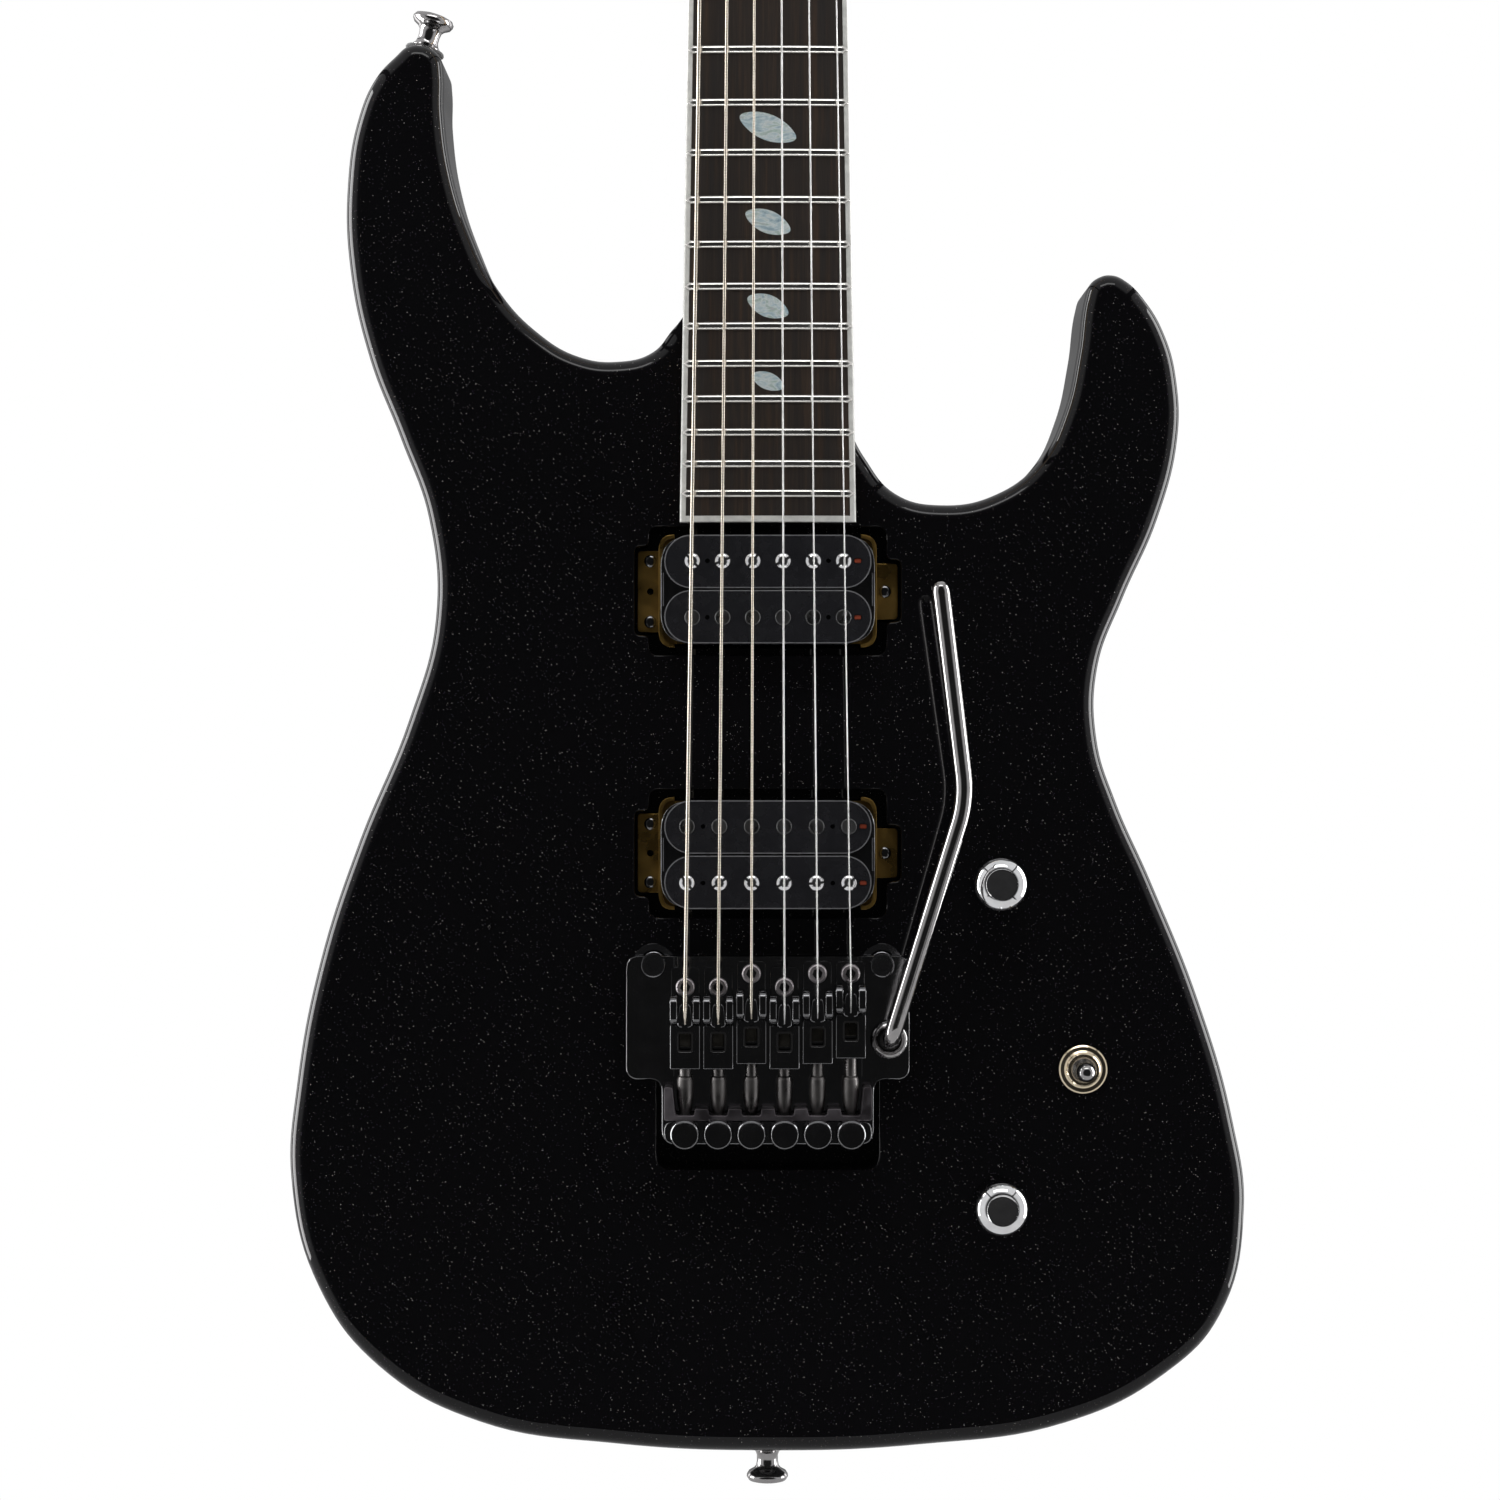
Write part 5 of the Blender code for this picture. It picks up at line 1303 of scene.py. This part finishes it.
def make_controls():
    metal, tabs, wires = [], [], []
    top = CONTROL_FLOOR + 0.3
    for x, v in (VOLUME_AT, TONE_AT):
        metal.append(lathe([(0, 9.7), (10.8, 9.7), (12, 9.0), (12, 0.6), (11.4, 0), (3.6, 0),
                            (3.6, 0.5), (0, 0.5)], (x, top, v), BACKWARD, 48))
        metal.append(lathe([(3.5, -2), (4.7, -2), (4.7, 10.8), (3.5, 10.8)], (x, 8, v), FORWARD,
                           36, closed=True))
        metal.append(cut(plate(hexagon(7.0, x, v, 0.2), -0.9, -0.05, 0.3),
                         well(4.7, x, v, -4, 2)))
        wafer = block((x - 6, 12.0, v + 11.5), (x + 6, 13.2, v + 17.5), 0.3)
        tabs.append(wafer)
        for k in (-1, 0, 1):
            tabs.append(block((x + 4 * k - 0.9, 13.0, v + 13.0), (x + 4 * k + 0.9, 13.7, v + 20.0),
                              0.2))
    x, v = SWITCH_AT
    metal.append(block((x - 7, top, v - 10), (x + 7, 12.5, v + 10), 0.5))
    tabs.append(block((x - 6.2, 12.5, v - 9.2), (x + 6.2, 24.0, v + 9.2), 0.6))
    for k in (-1, 0, 1):
        for side in (-1, 1):
            tabs.append(block((x + side * 3 - 0.5, 24.0, v + 5 * k - 1.1),
                              (x + side * 3 + 0.5, 26.0, v + 5 * k + 1.1), 0.15))
    ring = lathe([(3.7, 4.2), (5.1, 4.2), (5.5, 3.8), (5.6, 2.9), (6.2, 2.5), (7.4, 2.6),
                  (7.9, 2.3), (8.0, 1.7), (8.0, 0.35), (5.9, 0.3), (5.9, -8), (3.7, -8)],
                 (x, 0, v), FORWARD, 48, closed=True)
    step = lathe([(4.2, 4.9), (4.5, 4.9), (4.6, 4.2), (3.7, 4.2), (3.75, 4.6)], (x, 0, v),
                 FORWARD, 40, closed=True)
    piece("switch_ring", [ring, step], WARM_NICKEL, "guitar")
    routes = (((VOLUME_AT[0] + 4, 14, VOLUME_AT[1] + 16), (VOLUME_AT[0] + 12, 24, VOLUME_AT[1]),
               (x - 3, 25, v + 6)),
              ((TONE_AT[0] - 4, 14, TONE_AT[1] + 16), (TONE_AT[0] + 2, 25, TONE_AT[1] + 30),
               (x - 3, 25, v - 5)),
              ((x + 3, 25, v - 5), (x + 10, 24, v - 22), (127, 21, JACK_V)))
    for route in routes:
        wires.append(sweep(smooth_path(route, 14, 10), 0.9, 10))
    beside = [tuple(Vector(p) + Vector((1.8, 0.6, 1.5))) for p in routes[2][:2]]
    beside.append((127, 22.4, JACK_V))
    piece("pot_cans", metal, NICKEL, "guitar", ["control_harness"])
    piece("solder_tabs", tabs, BRASS, "guitar")
    piece("harness_wires", wires, GREY_WIRE, "guitar", angle=60)
    piece("jack_hot_wire", sweep(smooth_path(beside, 14, 10), 0.7, 10), RED_WIRE, "guitar",
          angle=60)


def make_knob(name, place):
    """Domed cap over a skirt of fine ribs, with a small flat top."""
    ribs = 36
    per_rib = 6
    profile = [(0.5, 17.1), (4.4, 17.1), (4.9, 17.25), (5.15, 17.6), (5.5, 17.5), (6.1, 17.2),
               (6.9, 16.7), (7.7, 16.0), (8.3, 15.2), (8.65, 14.2), (8.8, 13.0), (8.8, 9.9),
               (8.8, 1.5), (8.6, 0.9), (6.4, 0.8), (6.4, 4.4), (3.0, 4.6), (3.0, -13),
               (0.5, -13)]
    rings = []
    for radius, height in profile:
        ribbed = 1.0 if 1.4 < height < 10.0 and radius > 8 else 0.0
        ring = []
        for k in range(ribs * per_rib):
            angle = 2 * pi * k / (ribs * per_rib)
            depth = ribbed * 0.35 * (0.5 - 0.5 * cos(2 * pi * k / per_rib))
            ring.append(((radius - depth) * cos(angle), (radius - depth) * sin(angle), height))
        rings.append(ring)
    knob = loft(rings, Matrix.Translation((place[0], 0, place[1])) @ UPRIGHT)
    piece(name + "_cap", knob, CHROME, name, [name], angle=32)


def make_lever():
    x, v = SWITCH_AT
    lever = lathe([(0, 18.4), (1.0, 18.3), (1.9, 17.9), (2.7, 17.0), (3.15, 15.8), (3.2, 14.9),
                   (3.0, 13.9), (2.4, 12.6), (1.8, 11.7), (1.45, 10.8), (1.3, 8), (1.3, -7),
                   (0, -7)], (x, 3, v), FORWARD, 36)
    piece("switch_bat", lever, BLACK_NICKEL, "switch_lever", ["switch_lever"],
          angle=50)


def make_jack():
    base = (JACK_FACE_X, BODY_MIDDLE, JACK_V)
    washer = lathe([(5.4, -1.5), (8.6, -1.5), (9.0, -1.2), (8.8, -0.95), (5.4, -0.9)], base,
                   (1, 0, 0), 48, closed=True)
    nut = cut(prism(ring_points(7.0, 6), -0.95, -0.1, Matrix.Translation(base) @ facing((1, 0, 0)),
                    0.4), bore(5.0, (150, BODY_MIDDLE, JACK_V), (165, BODY_MIDDLE, JACK_V)))
    barrel = lathe([(3.3, -27), (3.3, -0.25), (3.55, 0), (4.75, 0), (5.0, -0.25), (5.0, -27)], base,
                   (1, 0, 0), 40, closed=True)
    end = lathe([(0, -30), (5.3, -30), (5.3, -27), (0, -27)], base, (1, 0, 0), 32)
    piece("jack_socket", [barrel, end], STEEL, "guitar", ["output_jack"])
    piece("jack_nut", [washer, nut], BLACK_NICKEL, "guitar")


def make_strap_buttons():
    for name, (base, direction) in zip(("strap_button_horn", "strap_button_end"), strap_places()):
        flare = lathe([(2.2, 12.2), (2.6, 12.9), (4.5, 13.2), (6.2, 12.7), (6.9, 11.6), (6.8, 10.8),
                       (6.2, 9.8), (4.6, 8.9), (3.8, 8.0), (3.5, 6.4), (3.5, 4.6), (3.9, 3.4),
                       (4.5, 2.7), (4.9, 2.3), (4.9, 1.9), (2.2, 1.9)], base, direction, 48,
                      closed=True)
        piece(name + "_flare", flare, BLACK_NICKEL, "guitar", [name], angle=40)
        washer = lathe([(1.9, 0.3), (6.4, 0.3), (6.6, 0.9), (6.3, 1.6), (5.9, 1.9), (1.9, 1.9)],
                       base, direction, 40, closed=True)
        piece(name + "_felt", washer, FELT, "guitar")
        screw = cross_screw(*(base + direction * 12.25), 3.2, direction, 0.9)
        shank = bore(1.9, base - direction * 22, base + direction * 12)
        piece(name + "_screw", [screw, shank], BLACK_NICKEL, "guitar")


# ---- stage ----------------------------------------------------------------------------------

FLOOR_RADIUS = 0.4
FLOOR_Z = -0.93
LIGHTS_AIM = Vector((0, 0, -0.58))
SEAM_WIDTH = 0.045
# Share of the way from straight behind the camera to straight ahead of it, and the light there
TENT_LEVELS = ((0.10, 0.035), (0.19, 1.0), (0.88, 1.0), (0.98, 0.25))
CAMERA_AT = (-5.8, -1050.0, 78.9)
CAMERA_LENS = 77.0


def white_to_camera(holder, shader, white):
    """The shader, but the white one where the camera looks straight at it."""
    seen = add(holder, "LightPath").outputs["Is Camera Ray"]
    return add(holder, "MixShader", _0=seen, _1=shader.outputs[0], _2=white.outputs[0]).outputs[0]


def make_floor():
    """A small disc below the guitar, grey to the light and white to the camera."""
    pale = bpy.data.materials.new("pale_floor")
    pale.use_nodes = True
    pale.node_tree.nodes.clear()
    grey = add(pale, "BsdfDiffuse", Color=(0.5, 0.5, 0.5, 1))
    glow = add(pale, "Emission", Color=(1, 1, 1, 1))
    add(pale, "OutputMaterial", Surface=white_to_camera(pale, grey, glow))
    mesh = bpy.data.meshes.new("studio_floor")
    bm = bmesh.new()
    bmesh.ops.create_circle(bm, cap_ends=True, segments=96, radius=FLOOR_RADIUS)
    bmesh.ops.translate(bm, vec=(0, 0, FLOOR_Z), verts=bm.verts)
    bm.to_mesh(mesh)
    bm.free()
    mesh.materials.append(pale)
    in_scene("studio_floor", mesh)


def make_tent():
    """Pale light from all round, dark behind the camera, with a thin dark cross of seams."""
    world = bpy.data.worlds.new("studio")
    bpy.context.scene.world = world
    world.use_nodes = True
    world.node_tree.nodes.clear()
    way = add(world, "TexCoord").outputs["Generated"]
    x, y, z = add(world, "SeparateXYZ", Vector=way).outputs
    depth = reckon(world, "MULTIPLY", reckon(world, "ADD", y, 1.0), 0.5)
    across = reckon(world, "ABSOLUTE", x)
    upward = reckon(world, "ABSOLUTE", z)
    from_seam = reckon(world, "ABSOLUTE", reckon(world, "SUBTRACT", across, upward))
    cloth = reckon(world, "GREATER_THAN", from_seam, SEAM_WIDTH)
    shade = ramp(world, reckon(world, "MULTIPLY", depth, cloth),
                 *[(share, (level, level, level * 1.01)) for share, level in TENT_LEVELS])
    tent = add(world, "Background", Color=shade, Strength=0.8)
    white = add(world, "Background", Color=(1, 1, 1, 1), Strength=1.0)
    add(world, "OutputWorld", Surface=white_to_camera(world, tent, white))


def area_light(name, place, width, height, power):
    light = bpy.data.lights.new(name, "AREA")
    light.shape = "RECTANGLE"
    light.size = width
    light.size_y = height
    light.energy = power
    obj = in_scene(name, light)
    obj.location = place
    obj.rotation_euler = (LIGHTS_AIM - Vector(place)).to_track_quat("-Z", "Y").to_euler()


def make_lights():
    area_light("left_box", (-1.1, 0.12, -0.5), 0.5, 1.5, 24)
    area_light("right_box", (1.1, 0.12, -0.5), 0.45, 1.5, 18)
    area_light("top_box", (0.0, -0.9, 0.75), 1.2, 0.3, 5)
    area_light("low_box", (0.0, -0.9, -1.7), 1.2, 0.3, 5)
    area_light("back_left", (-1.2, 1.0, -0.3), 0.35, 1.5, 3)
    area_light("back_right", (1.2, 1.0, -0.3), 0.35, 1.5, 3)


def make_camera():
    camera = bpy.data.cameras.new("camera")
    camera.lens = CAMERA_LENS
    camera.sensor_width = 36.0
    camera.clip_start = 0.05
    obj = in_scene("camera", camera)
    obj.location = to_frame(*CAMERA_AT)
    obj.rotation_euler = (pi / 2, 0, 0)
    bpy.context.scene.camera = obj
    bpy.context.scene.view_settings.view_transform = "Standard"


def dress_truss_rod():
    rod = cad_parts["truss_rod"]
    rod.data.materials.clear()
    rod.data.materials.append(STEEL)


make_floor()
make_tent()
make_lights()
make_camera()
make_body()
make_back()
make_neck()
make_headstock_face(rounded(HEADSTOCK_OUTLINE, 6, 4))
make_fretboard()
make_nut()
make_string_retainer()
for post_index in range(STRING_COUNT):
    make_tuning_post(post_index)
    make_tuner_grip(post_index)
make_tuner_cases()
make_strings()
make_pickup("neck_pickup", NECK_PICKUP_V, 1, 9.8, (-0.8, 0.4, 0.9, 0.5, -0.7, 0.7))
make_pickup_frame("neck_pickup", NECK_PICKUP_V, 13.4, 9.2)
make_pickup("bridge_pickup", BRIDGE_PICKUP_V, -1, 10.5, (-0.9, 0.6, -0.6, 0.5, 0.1, 0.7))
make_pickup_frame("bridge_pickup", BRIDGE_PICKUP_V, 13.0, 8.2)
make_pivot_posts()
make_baseplate()
make_tail()
make_sustain_block()
for string_index in range(STRING_COUNT):
    make_saddle(string_index)
    make_fine_tuner(string_index)
make_arm()
make_springs()
make_claw()
make_controls()
make_knob("volume_knob", VOLUME_AT)
make_knob("tone_knob", TONE_AT)
make_lever()
make_jack()
make_strap_buttons()
dress_truss_rod()
